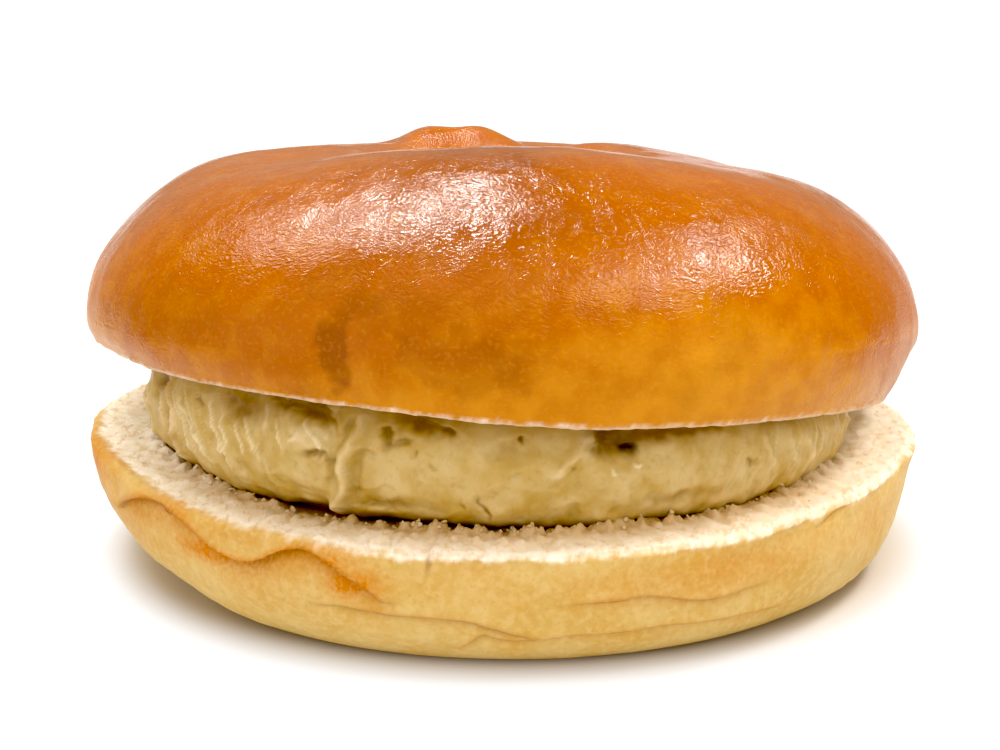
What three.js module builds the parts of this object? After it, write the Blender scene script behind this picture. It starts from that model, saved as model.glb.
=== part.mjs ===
// Bagel sandwich: a split, glazed bagel that holds a thick pale patty.
// Millimetres, +Z up, standing on Z = 0 with the open side of the sandwich towards -Y.
// Angles around a ring are in degrees from +X towards +Y, so the front is at -90.

import * as THREE from "three";

// Driving dimensions of the bottom half, whose cut face carries the patty
const BOTTOM = {
  centreY: -2, // places the whole sandwich's box over the origin
  rimRadius: 55.2, // outer edge of the cut face
  footRadius: 44.4, // edge of the flat that it stands on
  footShift: 1.2, // the foot lies a little to the right of the rim
  height: 17, // cut face above the table where it is highest
  drop: 2.6, // how much lower the cut face is where it is lowest
  dropAngle: 70, // where it is lowest: the top half leans on it there
  curlLift: 1.8, // how far the rim curls up at its two ends
  curlAngles: [-168, -10],
  curlSpread: 32,
  wallPower: 1.16, // leanness of the wall, 1 being an ellipse
  leftLean: 0.4, // how much leaner the wall is at the left
  footPower: 0.67, // leanness of the turn into the foot
  edgeRound: 0.7, // rounding of the cut edge
  dish: 1.2, // how far the patty presses the crumb down
  pressedRadius: 36, // the pressed part, flat up to here
  holeRadius: 7,
};

// Folds in the bottom half's crust, each along [angle, height] points
const FOLDS = [
  {
    depth: 1.2,
    lip: 0.7,
    width: 1.5,
    course: [[-156, 11], [-145, 15.6], [-138, 15.2], [-125, 11.9], [-117, 14.6], [-105, 11.2]],
  },
  {
    depth: 0.8,
    lip: 0.35,
    width: 1.3,
    course: [[-108, 8.6], [-95, 8.1], [-89, 5.5], [-75, 5.7], [-50, 3.6]],
  },
  { depth: 0.5, lip: 0.3, width: 1.1, course: [[-79, 10], [-67, 9.1], [-58, 9.8]] },
  { depth: 0.9, lip: 0.5, width: 1.5, course: [[15, 6.5], [32, 8.6], [50, 7.2], [72, 9]] },
  { depth: 0.8, lip: 0.4, width: 1.3, course: [[95, 5.4], [118, 7.6], [140, 6.4], [165, 8.8]] },
];
const FOLD_FADE = 5; // degrees over which a fold dies out at its ends

// Driving dimensions of the top half, in its own tilted frame whose origin is on its cut face
const TOP = {
  centre: new THREE.Vector3(0, 2.6, 24.3), // from the bottom half's centre
  tipBack: 9, // the front is lifted by the patty
  roll: 1, // the left side is a little higher
  cutSlope: -0.043, // the cut rises to the left across the half
  widestRadius: 56.1,
  widestHeight: 6.6,
  cutRadius: 53.3, // the crust turns in again below its widest ring
  crestRadius: 22,
  crestHeight: 29.3,
  throatRadius: 7.5,
  throatHeight: 11,
  holeFlare: 1, // the hole widens again towards the cut
};

// Swellings and dips of the top half's upper side: place, height and spread
const LUMPS = [
  { x: -6, y: 20, height: 2.6, spread: 8.5 }, // where the ends of the dough rope meet
  { x: 2, y: -24, height: 1.5, spread: 15 },
  { x: -26, y: -10, height: -1, spread: 10 },
  { x: 25, y: -8, height: -0.9, spread: 10 },
  { x: 17, y: 19, height: -0.8, spread: 7 },
];

// Upright creases and the broken edge of the top half's wall: angle, depth, spread, height reached
const CREASES = [
  { angle: -110.5, depth: 0.55, spread: 3, from: 0, to: 15 },
  { angle: -9, depth: 1.6, spread: 7, from: -6, to: 1.5 },
  { angle: 84, depth: 0.5, spread: 4, from: 0, to: 16 },
];
const CREASE_FADE = 4; // millimetres of height over which a crease dies out

// Driving dimensions of the patty
const PATTY = {
  radius: 47,
  backInset: 4.5, // the patty stops further inside the rim where it is thin
  backAngle: 80,
  sideReach: 2, // how much nearer to the rim it comes at the right
  sideAngle: -14,
  sideSpread: 26,
  edgeDepth: 4.2, // how far its rounded edge curves in
  edgePower: 0.8, // fullness of the edge, 1 being an ellipse
  clearance: 0.35, // to the cut faces below and above it
};

// Bulges and hollows of the patty's edge: angle, height above the table, size and spread
const PATTY_RELIEF = [
  { angle: -153, height: 28.5, out: -2.4, across: 4, up: 3 },
  { angle: -118, height: 27.5, out: -1.8, across: 4.4, up: 3.4 },
  { angle: -121, height: 17.5, out: -1.6, across: 5, up: 2 },
  { angle: -104.5, height: 28.4, out: -1.5, across: 2.2, up: 1.6 },
  { angle: -98.5, height: 31, out: -1.5, across: 4, up: 2 },
  { angle: -93, height: 22, out: 0.9, across: 12, up: 4 },
  { angle: -78, height: 27.5, out: 0.9, across: 3, up: 3.5 },
  { angle: -70, height: 29, out: -3.2, across: 3.6, up: 2.6 },
  { angle: -50, height: 22.5, out: 0.5, across: 14, up: 3.5 },
  { angle: -140, height: 22, out: 0.7, across: 9, up: 4 },
];

// A soft strand that hangs down the patty's edge, along [angle, height] points from the top
const STRAND = {
  out: 1.3,
  spread: 2,
  course: [[31.5, -110], [27, -112.5], [23.5, -113.8], [17, -114]],
};

// Mesh steps
const RING_STEPS = 96;
const STEPS = { face: 3, wall: 14, shoulder: 13, funnel: 6, foot: 2, hole: 2, pattyFace: 2, pattyEdge: 10 };

// Where the pressed part ends, and the rings of points on the bottom half's cut face from the rim inwards
const freeRadius = PATTY.radius + 1;
const faceRadii = [
  BOTTOM.rimRadius,
  BOTTOM.rimRadius - BOTTOM.edgeRound,
  BOTTOM.rimRadius - 2 * BOTTOM.edgeRound,
  freeRadius,
  BOTTOM.pressedRadius,
];

const radians = THREE.MathUtils.degToRad;
const smooth = (value, low, high) => THREE.MathUtils.smoothstep(value, low, high);
const ramp = (value, low, high) => THREE.MathUtils.clamp((value - low) / (high - low), 0, 1);
const mix = THREE.MathUtils.lerp;

// A bell curve, 1 at the middle
const bell = (distance, spread) => Math.exp(-((distance / spread) ** 2));

// The turn from one angle to another, between -180 and 180 degrees
const turn = (from, to) => THREE.MathUtils.euclideanModulo(to - from + 180, 360) - 180;

// Even shares of a stretch, from 0 up to but not including 1
const shares = (steps) => Array.from({ length: steps }, (_, i) => i / steps);

// The second value of a course of [first, second] points, with soft joints, held beyond its ends
function along(course, first) {
  const rising = course[0][0] < course[course.length - 1][0] ? course : [...course].reverse();
  const next = rising.findIndex(([place]) => place > first);
  if (next === 0) return rising[0][1];
  if (next < 0) return rising[rising.length - 1][1];
  const [[a, low], [b, high]] = [rising[next - 1], rising[next]];
  return mix(low, high, smooth(first, a, b));
}

// How far the folds push the bottom half's wall out at an angle and height
function foldRelief(angle, height) {
  let out = 0;
  for (const { depth, lip, width, course } of FOLDS) {
    const start = course[0][0];
    const end = course[course.length - 1][0];
    const here = start + THREE.MathUtils.euclideanModulo(angle - start + 180, 360) - 180;
    const present = smooth(here, start - FOLD_FADE, start + FOLD_FADE)
      * (1 - smooth(here, end - FOLD_FADE, end + FOLD_FADE));
    const above = height - along(course, here);
    out += present * (lip * bell(above - 2 * width, 2 * width) - depth * bell(above, width));
  }
  return out;
}

// Height of the cut face: a slightly tilted plane, pressed down under the patty, turned down at the edge
function cutFaceHeight(angle, radius) {
  const { rimRadius, height, drop, dropAngle, dish, pressedRadius, edgeRound } = BOTTOM;
  const { curlLift, curlAngles, curlSpread } = BOTTOM;
  const tilt = (1 + (radius / rimRadius) * Math.cos(radians(angle - dropAngle))) / 2;
  const pressed = 1 - ramp(radius, pressedRadius, freeRadius);
  const curled = curlAngles.reduce((sum, end) => sum + bell(turn(end, angle), curlSpread), 0);
  const curl = curlLift * curled * ramp(radius, pressedRadius, rimRadius);
  const edge = ramp(radius, rimRadius - 2 * edgeRound, rimRadius);
  return height - drop * tilt - dish * pressed + curl - edgeRound * edge ** 2;
}

// Section of the bottom half at an angle, anticlockwise from the hole's foot
function bottomSection(angle) {
  const { rimRadius, footRadius, footShift, holeRadius, wallPower, leftLean, footPower } = BOTTOM;
  const power = wallPower + leftLean * bell(turn(180, angle), 35);
  const foot = footRadius + footShift * Math.cos(radians(angle));
  const edge = cutFaceHeight(angle, rimRadius);
  const points = shares(STEPS.foot).map((t) => [mix(holeRadius + 2, foot, t), 0]);
  for (const t of shares(STEPS.wall)) {
    const lean = (Math.PI / 2) * (1 - t);
    const height = edge * (1 - Math.sin(lean) ** footPower);
    const wall = foot + (rimRadius - foot) * Math.cos(lean) ** power;
    points.push([wall + foldRelief(angle, height) * smooth(height, 0, 3), height]);
  }
  for (const radius of faceRadii) {
    points.push([radius, cutFaceHeight(angle, radius)]);
  }
  for (const t of shares(STEPS.hole)) {
    points.push([mix(holeRadius, holeRadius + 2, t), mix(cutFaceHeight(angle, holeRadius), 0, t)]);
  }
  return points;
}

// How far the creases draw the top half's wall in at an angle and height
function creaseRelief(angle, height) {
  return CREASES.reduce((out, { angle: middle, depth, spread, from, to }) => {
    const reach = smooth(height, from - CREASE_FADE, from)
      * (1 - smooth(height, to, to + CREASE_FADE));
    return out - depth * reach * bell(turn(middle, angle), spread);
  }, 0);
}

// How far the lumps lift the top half's upper side at a place
function lumpRelief(angle, radius) {
  const x = radius * Math.cos(radians(angle));
  const y = radius * Math.sin(radians(angle));
  return LUMPS.reduce((up, lump) => up + lump.height * bell(Math.hypot(x - lump.x, y - lump.y), lump.spread), 0);
}

// Section of the top half at an angle, anticlockwise from the hole's edge in the cut face
function topSection(angle) {
  const { widestRadius, widestHeight, cutRadius, crestRadius, crestHeight } = TOP;
  const { throatRadius, throatHeight, holeFlare, cutSlope } = TOP;
  const cutHeight = (radius) => cutSlope * radius * Math.cos(radians(angle));
  const cutHole = throatRadius + holeFlare;
  const points = shares(STEPS.face).map((t) => {
    const radius = mix(cutHole, cutRadius + creaseRelief(angle, cutHeight(cutRadius)), t);
    return [radius, cutHeight(radius)];
  });
  const lowerSteps = Math.round(STEPS.shoulder / 3);
  for (const t of shares(lowerSteps)) {
    const height = mix(cutHeight(cutRadius), widestHeight, t);
    const wall = mix(widestRadius, cutRadius, (1 - t) ** 2);
    points.push([wall + creaseRelief(angle, height), height]);
  }
  const raised = (height) => smooth(height, widestHeight, crestHeight);
  for (const t of shares(STEPS.shoulder)) {
    const rise = (Math.PI / 2) * t;
    const radius = mix(crestRadius, widestRadius, Math.cos(rise));
    const height = mix(widestHeight, crestHeight, Math.sin(rise));
    points.push([
      radius + creaseRelief(angle, height) * Math.cos(rise),
      height + lumpRelief(angle, radius) * raised(height),
    ]);
  }
  for (const t of shares(STEPS.funnel)) {
    const fall = (Math.PI / 2) * t;
    const radius = mix(crestRadius, throatRadius, Math.sin(fall));
    const height = mix(throatHeight, crestHeight, Math.cos(fall));
    points.push([radius, height + lumpRelief(angle, radius) * raised(height)]);
  }
  for (const t of shares(STEPS.hole)) {
    points.push([mix(throatRadius, cutHole, t), mix(throatHeight, cutHeight(cutHole), t)]);
  }
  return points;
}

// The top half's tilt, and the height of its cut plane over a place on the bottom half
const topTilt = new THREE.Euler(radians(-TOP.tipBack), radians(TOP.roll), 0, "YXZ");
const cutNormal = new THREE.Vector3(-TOP.cutSlope, 0, 1).applyEuler(topTilt);
function topCutHeight(x, y) {
  const { centre } = TOP;
  return centre.z - (cutNormal.x * (x - centre.x) + cutNormal.y * (y - centre.y)) / cutNormal.z;
}

// How far the patty's edge swells out at an angle and height
function pattyRelief(angle, height) {
  let out = STRAND.out * bell(turn(along(STRAND.course, height), angle), STRAND.spread);
  for (const { angle: middle, height: level, out: size, across, up } of PATTY_RELIEF) {
    out += size * bell(turn(middle, angle), across) * bell(height - level, up);
  }
  return out;
}

// Half section of the patty at an angle, anticlockwise from its underside to its upper side,
// without the two points on its axis
function pattySection(angle) {
  const { radius: base, backInset, backAngle, sideReach, sideAngle, sideSpread } = PATTY;
  const back = (1 + Math.cos(radians(angle - backAngle))) / 2;
  const outline = base - backInset * back ** 2 + sideReach * bell(turn(sideAngle, angle), sideSpread);
  const [dx, dy] = [Math.cos(radians(angle)), Math.sin(radians(angle))];
  const under = (radius) => cutFaceHeight(angle, radius) + PATTY.clearance;
  const over = (radius) => topCutHeight(radius * dx, radius * dy) - PATTY.clearance;
  const thick = over(outline) - under(outline);
  const depth = Math.min(PATTY.edgeDepth, thick / 2);
  const inner = outline - depth;
  const flat = shares(STEPS.pattyFace).slice(1).map((t) => BOTTOM.pressedRadius * t);
  const points = [...flat, BOTTOM.pressedRadius].map((radius) => [radius, under(radius)]);
  for (let step = 0; step <= STEPS.pattyEdge; step += 1) {
    const lean = Math.PI * (step / STEPS.pattyEdge - 0.5);
    const climb = (1 + Math.sign(lean) * Math.abs(Math.sin(lean)) ** PATTY.edgePower) / 2;
    const swell = Math.cos(lean) ** PATTY.edgePower;
    const level = mix(under(inner), over(inner), climb);
    const radius = inner + depth * swell + pattyRelief(angle, level) * swell;
    points.push([radius, level]);
  }
  points.push(...flat.reverse().map((radius) => [radius, over(radius)]));
  return points;
}

// Geometry of a section carried around the Z axis. A closed section makes a ring, and an open one
// is closed by a point on the axis at each of the two heights given.
function carriedRound(section, poleHeights) {
  const sections = shares(RING_STEPS).map((share) => {
    const angle = 360 * share - 180;
    return section(angle).map(([radius, height]) => [
      radius * Math.cos(radians(angle)),
      radius * Math.sin(radians(angle)),
      height,
    ]);
  });
  const count = sections[0].length;
  const positions = sections.flat();
  const at = (ring, point) => (ring % RING_STEPS) * count + point;
  const faces = [];
  const quads = poleHeights ? count - 1 : count;
  for (let ring = 0; ring < RING_STEPS; ring += 1) {
    for (let point = 0; point < quads; point += 1) {
      const after = (point + 1) % count;
      const [a, b] = [at(ring, point), at(ring + 1, point)];
      const [c, d] = [at(ring + 1, after), at(ring, after)];
      faces.push(a, b, c, a, c, d);
    }
  }
  if (poleHeights) {
    const [low, high] = [positions.length, positions.length + 1];
    positions.push([0, 0, poleHeights[0]], [0, 0, poleHeights[1]]);
    for (let ring = 0; ring < RING_STEPS; ring += 1) {
      faces.push(low, at(ring + 1, 0), at(ring, 0));
      faces.push(high, at(ring, count - 1), at(ring + 1, count - 1));
    }
  }
  const geometry = new THREE.BufferGeometry();
  geometry.setAttribute("position", new THREE.Float32BufferAttribute(positions.flat(), 3));
  geometry.setIndex(faces);
  geometry.computeVertexNormals();
  return geometry;
}

function namedMesh(name, geometry, colour, roughness) {
  const material = new THREE.MeshStandardMaterial({ color: colour, roughness, metalness: 0 });
  const mesh = new THREE.Mesh(geometry, material);
  mesh.name = name;
  return mesh;
}

const bagelBottom = namedMesh("bagel_bottom", carriedRound(bottomSection), 0xe7b35f, 0.7);

const pattyPoles = [cutFaceHeight(0, 0) + PATTY.clearance, topCutHeight(0, 0) - PATTY.clearance];
const patty = namedMesh("patty", carriedRound(pattySection, pattyPoles), 0xd0aa61, 0.45);

const bagelTop = namedMesh("bagel_top", carriedRound(topSection), 0xc87012, 0.3);
const topGroup = new THREE.Group();
topGroup.position.copy(TOP.centre);
topGroup.rotation.copy(topTilt);
topGroup.add(bagelTop);

const sandwich = new THREE.Group();
sandwich.position.set(0, BOTTOM.centreY, 0);
sandwich.add(bagelBottom, patty, topGroup);

const root = new THREE.Group();
root.add(sandwich);

export default root;
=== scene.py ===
"""Bagel sandwich: a split, glazed bagel that holds a thick pale patty.

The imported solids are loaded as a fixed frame, and each of the three is dressed with a fine surface of
the same form that adds glaze wrinkles, crust folds, porous crumb, and the patty's fibres and hollows.
Sizes are in millimetres. Angles are in degrees from +X towards +Y, so the front is at -90.
"""

import logging
from dataclasses import dataclass
from enum import Enum

import bpy
import numpy as np
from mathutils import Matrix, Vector


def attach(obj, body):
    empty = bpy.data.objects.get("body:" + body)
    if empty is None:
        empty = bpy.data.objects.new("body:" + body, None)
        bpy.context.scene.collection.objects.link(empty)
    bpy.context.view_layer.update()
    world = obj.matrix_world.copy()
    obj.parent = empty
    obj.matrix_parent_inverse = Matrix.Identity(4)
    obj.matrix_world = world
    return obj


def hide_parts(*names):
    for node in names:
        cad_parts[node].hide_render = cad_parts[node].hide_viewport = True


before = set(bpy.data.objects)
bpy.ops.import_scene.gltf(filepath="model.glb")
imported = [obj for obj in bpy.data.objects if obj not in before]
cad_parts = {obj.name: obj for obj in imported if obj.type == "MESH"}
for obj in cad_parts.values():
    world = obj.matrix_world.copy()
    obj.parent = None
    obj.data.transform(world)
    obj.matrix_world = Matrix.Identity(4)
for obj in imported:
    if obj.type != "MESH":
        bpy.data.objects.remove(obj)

Array = np.ndarray
Range = tuple[float, float]
Course = tuple[Range, ...]
Shape = bpy.types.Object
Material = bpy.types.Material
NodeTree = bpy.types.NodeTree
Node = bpy.types.Node
Socket = bpy.types.NodeSocket
MM = 0.001
FRONT = -90.0
LOG = logging.getLogger("bagel_sandwich")


# Shared curves


def bell(distance: Array, spread: float) -> Array:
    """Bell curve: one at no distance, falling with the square of distance over spread."""
    return np.exp(-((distance / spread) ** 2))


def ramp(value: Array, low: float, high: float) -> Array:
    """Straight rise from zero at low to one at high, held beyond both."""
    return np.clip((value - low) / (high - low), 0.0, 1.0)


def smooth(value: Array, low: float, high: float) -> Array:
    """Soft rise from zero at low to one at high: three times the square less twice the cube."""
    share = ramp(value, low, high)
    return share * share * (3.0 - 2.0 * share)


def mix(first: Array, second: Array, share: Array) -> Array:
    """Straight blend from first to second by share."""
    return first + (second - first) * share


def turn(start: float, angle: Array) -> Array:
    """Turn from one angle to another, between -180 and 180 degrees."""
    return (angle - start + 180.0) % 360.0 - 180.0


def facing(angle: Array, full: float, none: float) -> Array:
    """Share at the front: one within a turn of full degrees, falling softly to nothing at none."""
    return 1.0 - smooth(np.abs(turn(FRONT, angle)), full, none)


def course_at(course: Course, place: Array) -> Array:
    """Follow a course of (place, value) points with a smooth curve.

    Between two points it is the cubic that meets both with the mean slopes of their neighbours. Beyond
    the ends the end values hold.

    Args:
        course: Points in rising order of place.
        place: Where to read the course.

    Returns:
        The course's values at each place.
    """
    knots, values = np.array(course, float).T
    slopes = np.gradient(values, knots)
    held = np.clip(place, knots[0], knots[-1])
    left = np.clip(np.searchsorted(knots, held, side="right") - 1, 0, len(knots) - 2)
    span = knots[left + 1] - knots[left]
    t = (held - knots[left]) / span
    return (
        (2 * t**3 - 3 * t**2 + 1) * values[left]
        + (t**3 - 2 * t**2 + t) * span * slopes[left]
        + (3 * t**2 - 2 * t**3) * values[left + 1]
        + (t**3 - t**2) * span * slopes[left + 1]
    )


@dataclass(frozen=True)
class Noise:
    """Random fields over space that come out the same on every run, picked by a seed."""

    seed: int

    def fractions(self, cells: Array, channel: int) -> Array:
        """Give each whole-number cell a scattered fraction from zero to one.

        The three numbers are multiplied by large odd numbers, combined bit by bit, and stirred.

        Args:
            cells: Whole numbers, three in the last axis.
            channel: Number that keeps several fractions of a cell apart.

        Returns:
            One fraction for each cell.
        """
        with np.errstate(over="ignore"):
            part = cells.astype(np.int64).astype(np.uint32)
            mixed = part[..., 0] * np.uint32(0x8DA6B343)
            mixed = mixed ^ (part[..., 1] * np.uint32(0xD8163841))
            mixed = mixed ^ (part[..., 2] * np.uint32(0xCB1AB31F))
            mixed = mixed ^ np.uint32((self.seed * 7919 + channel * 104729) & 0xFFFFFFFF)
            for shift, factor in ((16, 0x7FEB352D), (15, 0x846CA68B)):
                mixed = (mixed ^ (mixed >> np.uint32(shift))) * np.uint32(factor)
            mixed = mixed ^ (mixed >> np.uint32(16))
        return mixed / 4294967295.0

    def soft(self, points: Array, size: float) -> Array:
        """Smooth field of about -1 to 1 whose lumps are about as large as size.

        Each corner of a lattice has a random slope, and the eight slopes around a point are blended.

        Args:
            points: Places, three numbers in the last axis.
            size: Side of the lattice's cells.

        Returns:
            The field at each point.
        """
        place = points / size
        base = np.floor(place)
        inside = place - base
        fade = inside**3 * (inside * (inside * 6.0 - 15.0) + 10.0)
        total = np.zeros(points.shape[:-1])
        for corner in np.ndindex(2, 2, 2):
            at = np.array(corner, float)
            slope = np.stack([self.fractions(base + at, c) for c in range(3)], -1) * 2.0 - 1.0
            weight = np.prod(np.where(at > 0, fade, 1.0 - fade), axis=-1)
            total += weight * np.sum(slope * (inside - at), axis=-1)
        return total * 1.6

    def layers(self, points: Array, size: float, count: int) -> Array:
        """Sum of soft fields, each half as large and half as strong as the one before."""
        return sum(self.soft(points + 17.3 * k, size / 2**k) / 2**k for k in range(count))

    def pits(self, points: Array, size: float, share: float) -> Array:
        """Round pits scattered through space, zero outside them and one at their middles.

        Each cell of a lattice has one ball at a random place with a random width. The field is one
        less the squared distance over the ball's squared radius, and the deepest ball wins.

        Args:
            points: Places, three numbers in the last axis.
            size: Side of the lattice's cells.
            share: Share of the cells that have a ball.

        Returns:
            The field at each point.
        """
        base = np.floor(points / size)
        deepest = np.zeros(points.shape[:-1])
        for step in np.ndindex(3, 3, 3):
            cell = base + np.array(step, float) - 1.0
            middle = np.stack([self.fractions(cell, c) for c in range(3)], -1)
            reach = 0.25 + 0.5 * self.fractions(cell, 3)
            gap = np.sum((points / size - cell - middle) ** 2, axis=-1)
            depth = np.where(self.fractions(cell, 4) < share, 1.0 - gap / reach**2, 0.0)
            deepest = np.maximum(deepest, depth)
        return deepest


@dataclass(frozen=True)
class Patch:
    """A soft oval patch on a wall.

    Attributes:
        angle: Its middle around the wall.
        height: Its middle up the wall.
        across: Its spread along the wall, in degrees.
        up: Its spread in height.
        strength: Its strength in the middle.
    """

    angle: float
    height: float
    across: float
    up: float
    strength: float

    def cover(self, angle: Array, height: Array) -> Array:
        """Strength times a bell along the wall times a bell up it."""
        along = self.strength * bell(turn(self.angle, angle), self.across)
        return along * bell(height - self.height, self.up)


@dataclass(frozen=True)
class Swell:
    """A rise along a ring: its angle, its spread in degrees, and its size in the middle."""

    angle: float
    spread: float
    size: float

    def at(self, angle: Array) -> Array:
        """Size times a bell of the turn from the swell's angle."""
        return self.size * bell(turn(self.angle, angle), self.spread)


@dataclass(frozen=True)
class Rise:
    """A soft rise from nothing at a low value to its most at a high one."""

    low: float
    high: float
    most: float = 1.0

    def at(self, value: Array) -> Array:
        """Most times the soft rise at the value."""
        return self.most * smooth(value, self.low, self.high)


@dataclass(frozen=True)
class Grain:
    """Layered noise: its height or share, its largest lumps' size, its count of fields, and a shift.

    The shift in space keeps it apart from other noise.
    """

    strength: float
    size: float
    layers: int
    shift: float = 0.0

    def at(self, noise: Noise, points: Array) -> Array:
        """Strength times the layered noise at the shifted points."""
        return self.strength * noise.layers(points + self.shift, self.size, self.layers)


@dataclass(frozen=True)
class Pores:
    """Round pores: their depth, the size of their cells, the share of cells with one, and a shift."""

    depth: float
    size: float
    share: float
    shift: float = 0.0

    def at(self, noise: Noise, points: Array) -> Array:
        """Depth times the field of round pits at the shifted points."""
        return self.depth * noise.pits(points + self.shift, self.size, self.share)


def layered(layers: tuple[Grain | Pores, ...], noise: Noise, points: Array) -> Array:
    """Sum of several layers of grain or pores."""
    return sum(layer.at(noise, points) for layer in layers)


# Rings of points and the meshes made from them


@dataclass(frozen=True)
class RingSteps:
    """Angles of a ring's columns, gathered towards the front.

    Attributes:
        count: Number of columns.
        gather: How strongly they gather, from zero for evenly spaced.
    """

    count: int = 720
    gather: float = 0.5

    def degrees(self) -> Array:
        """Angles: an even turn from the front, less gather times its sine."""
        return self.gathered(np.arange(self.count) * (2.0 * np.pi / self.count))

    def gathered(self, even: Array) -> Array:
        """Angles for even turns, in radians, from the front."""
        return np.degrees(even - self.gather * np.sin(even)) + FRONT


def around(radius: Array, height: Array, angle: Array) -> Array:
    """Points at a radius, height and angle about the upright axis."""
    turned = np.radians(angle)
    return np.stack(np.broadcast_arrays(radius * np.cos(turned), radius * np.sin(turned), height), -1)


def outward(points: Array, closed: bool) -> Array:
    """Unit normals of a grid of rings: across the ring direction times along the section.

    Args:
        points: Grid with the section along the first axis and the ring along the second.
        closed: Whether the section's last row joins its first.

    Returns:
        A unit vector for each point, pointing out of the solid.
    """
    along_ring = np.roll(points, -1, axis=1) - np.roll(points, 1, axis=1)
    if closed:
        along_section = np.roll(points, -1, axis=0) - np.roll(points, 1, axis=0)
    else:
        along_section = np.gradient(points, axis=0)
    normal = np.cross(along_ring, along_section)
    return normal / np.maximum(np.linalg.norm(normal, axis=-1, keepdims=True), 1e-9)


class Closing(Enum):
    """How a grid of rings is closed along its section."""

    TUBE = "the last ring joins the first"
    CAPS = "a point on the axis closes each end"


def ring_faces(rows: int, columns: int, closing: Closing) -> tuple[Array, Array]:
    """Corners of the faces of a grid of rings.

    Args:
        rows: Points along the section.
        columns: Points around the ring.
        closing: How the section is closed.

    Returns:
        Four-cornered faces, and three-cornered ones around the two end points.
    """
    strips = rows if closing is Closing.TUBE else rows - 1
    row, column = np.meshgrid(np.arange(strips), np.arange(columns), indexing="ij")
    after, beside = (row + 1) % rows, (column + 1) % columns
    corners = [row * columns + column, row * columns + beside]
    corners += [after * columns + beside, after * columns + column]
    quads = np.stack(corners, -1).reshape(-1, 4)
    if closing is Closing.TUBE:
        return quads, np.zeros((0, 3), int)
    here = np.arange(columns)
    ahead = (here + 1) % columns
    low = np.stack([np.full(columns, rows * columns), ahead, here], -1)
    last = (rows - 1) * columns
    high = np.stack([np.full(columns, rows * columns + 1), last + here, last + ahead], -1)
    return quads, np.concatenate([low, high])


def mesh_object(name: str, points: Array, quads: Array, triangles: Array) -> Shape:
    """Make a smooth mesh object from points in millimetres.

    Args:
        name: The piece's name.
        points: Corner points, three numbers each.
        quads: Four-cornered faces by point number.
        triangles: Three-cornered faces by point number.

    Returns:
        The object, at the origin and in the scene.
    """
    mesh = bpy.data.meshes.new(name)
    mesh.vertices.add(len(points))
    mesh.vertices.foreach_set("co", (points * MM).astype(np.float32).ravel())
    corners = np.concatenate([quads.ravel(), triangles.ravel()]).astype(np.int32)
    starts = np.concatenate([np.arange(len(quads)) * 4, len(quads) * 4 + np.arange(len(triangles)) * 3])
    mesh.loops.add(len(corners))
    mesh.loops.foreach_set("vertex_index", corners)
    mesh.polygons.add(len(starts))
    mesh.polygons.foreach_set("loop_start", starts.astype(np.int32))
    mesh.polygons.foreach_set("use_smooth", np.ones(len(starts), bool))
    mesh.update(calc_edges=True)
    mesh.validate()
    piece = bpy.data.objects.new(name, mesh)
    bpy.context.scene.collection.objects.link(piece)
    return piece


def give_mask(piece: Shape, name: str, values: Array) -> None:
    """Store a value for each point of a piece, for its material to read."""
    attribute = piece.data.attributes.new(name, "FLOAT", "POINT")
    attribute.data.foreach_set("value", np.ascontiguousarray(values, np.float32).ravel())


def give_flow(piece: Shape, angle: Array, points: Array, ring: float) -> None:
    """Store where each point lies along the ring and along the section, as places in space.

    The ring is shrunk to one radius, so that a pattern of even grains comes out drawn along it. The
    third number is the length of the section up to the point.

    Args:
        piece: The piece.
        angle: Angles of the points.
        points: Grid with the section along the first axis.
        ring: Radius that the ring is shrunk to.
    """
    steps = np.linalg.norm(np.diff(points, axis=0), axis=-1)
    length = np.concatenate([np.zeros((1, steps.shape[1])), np.cumsum(steps, axis=0)])
    attribute = piece.data.attributes.new("flow", "FLOAT_VECTOR", "POINT")
    attribute.data.foreach_set("vector", (around(ring, length, angle) * MM).astype(np.float32).ravel())


class Piece:
    """A piece of the sandwich: the solid that it stands for, and the record's finish for it."""

    node: str
    slot: str

    def build(self) -> Shape:
        """Build the mesh with its masks."""
        raise NotImplementedError

    def dress(self, piece: Shape, finish: Material) -> None:
        """Give the piece its finish, let it stand for its solid, and let it move with the sandwich."""
        piece.data.materials.append(finish)
        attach(piece, "root")
        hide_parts(self.node)


# Node trees


@dataclass(frozen=True)
class Paint:
    """A colour by its display values from 0 to 255."""

    red: float
    green: float
    blue: float

    def linear(self) -> tuple[float, float, float, float]:
        """The colour as linear light with full cover."""
        shown = np.array([self.red, self.green, self.blue]) / 255.0
        light = np.where(shown <= 0.04045, shown / 12.92, ((shown + 0.055) / 1.055) ** 2.4)
        return (float(light[0]), float(light[1]), float(light[2]), 1.0)


Value = float | tuple[float, ...] | Paint | Socket


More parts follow.
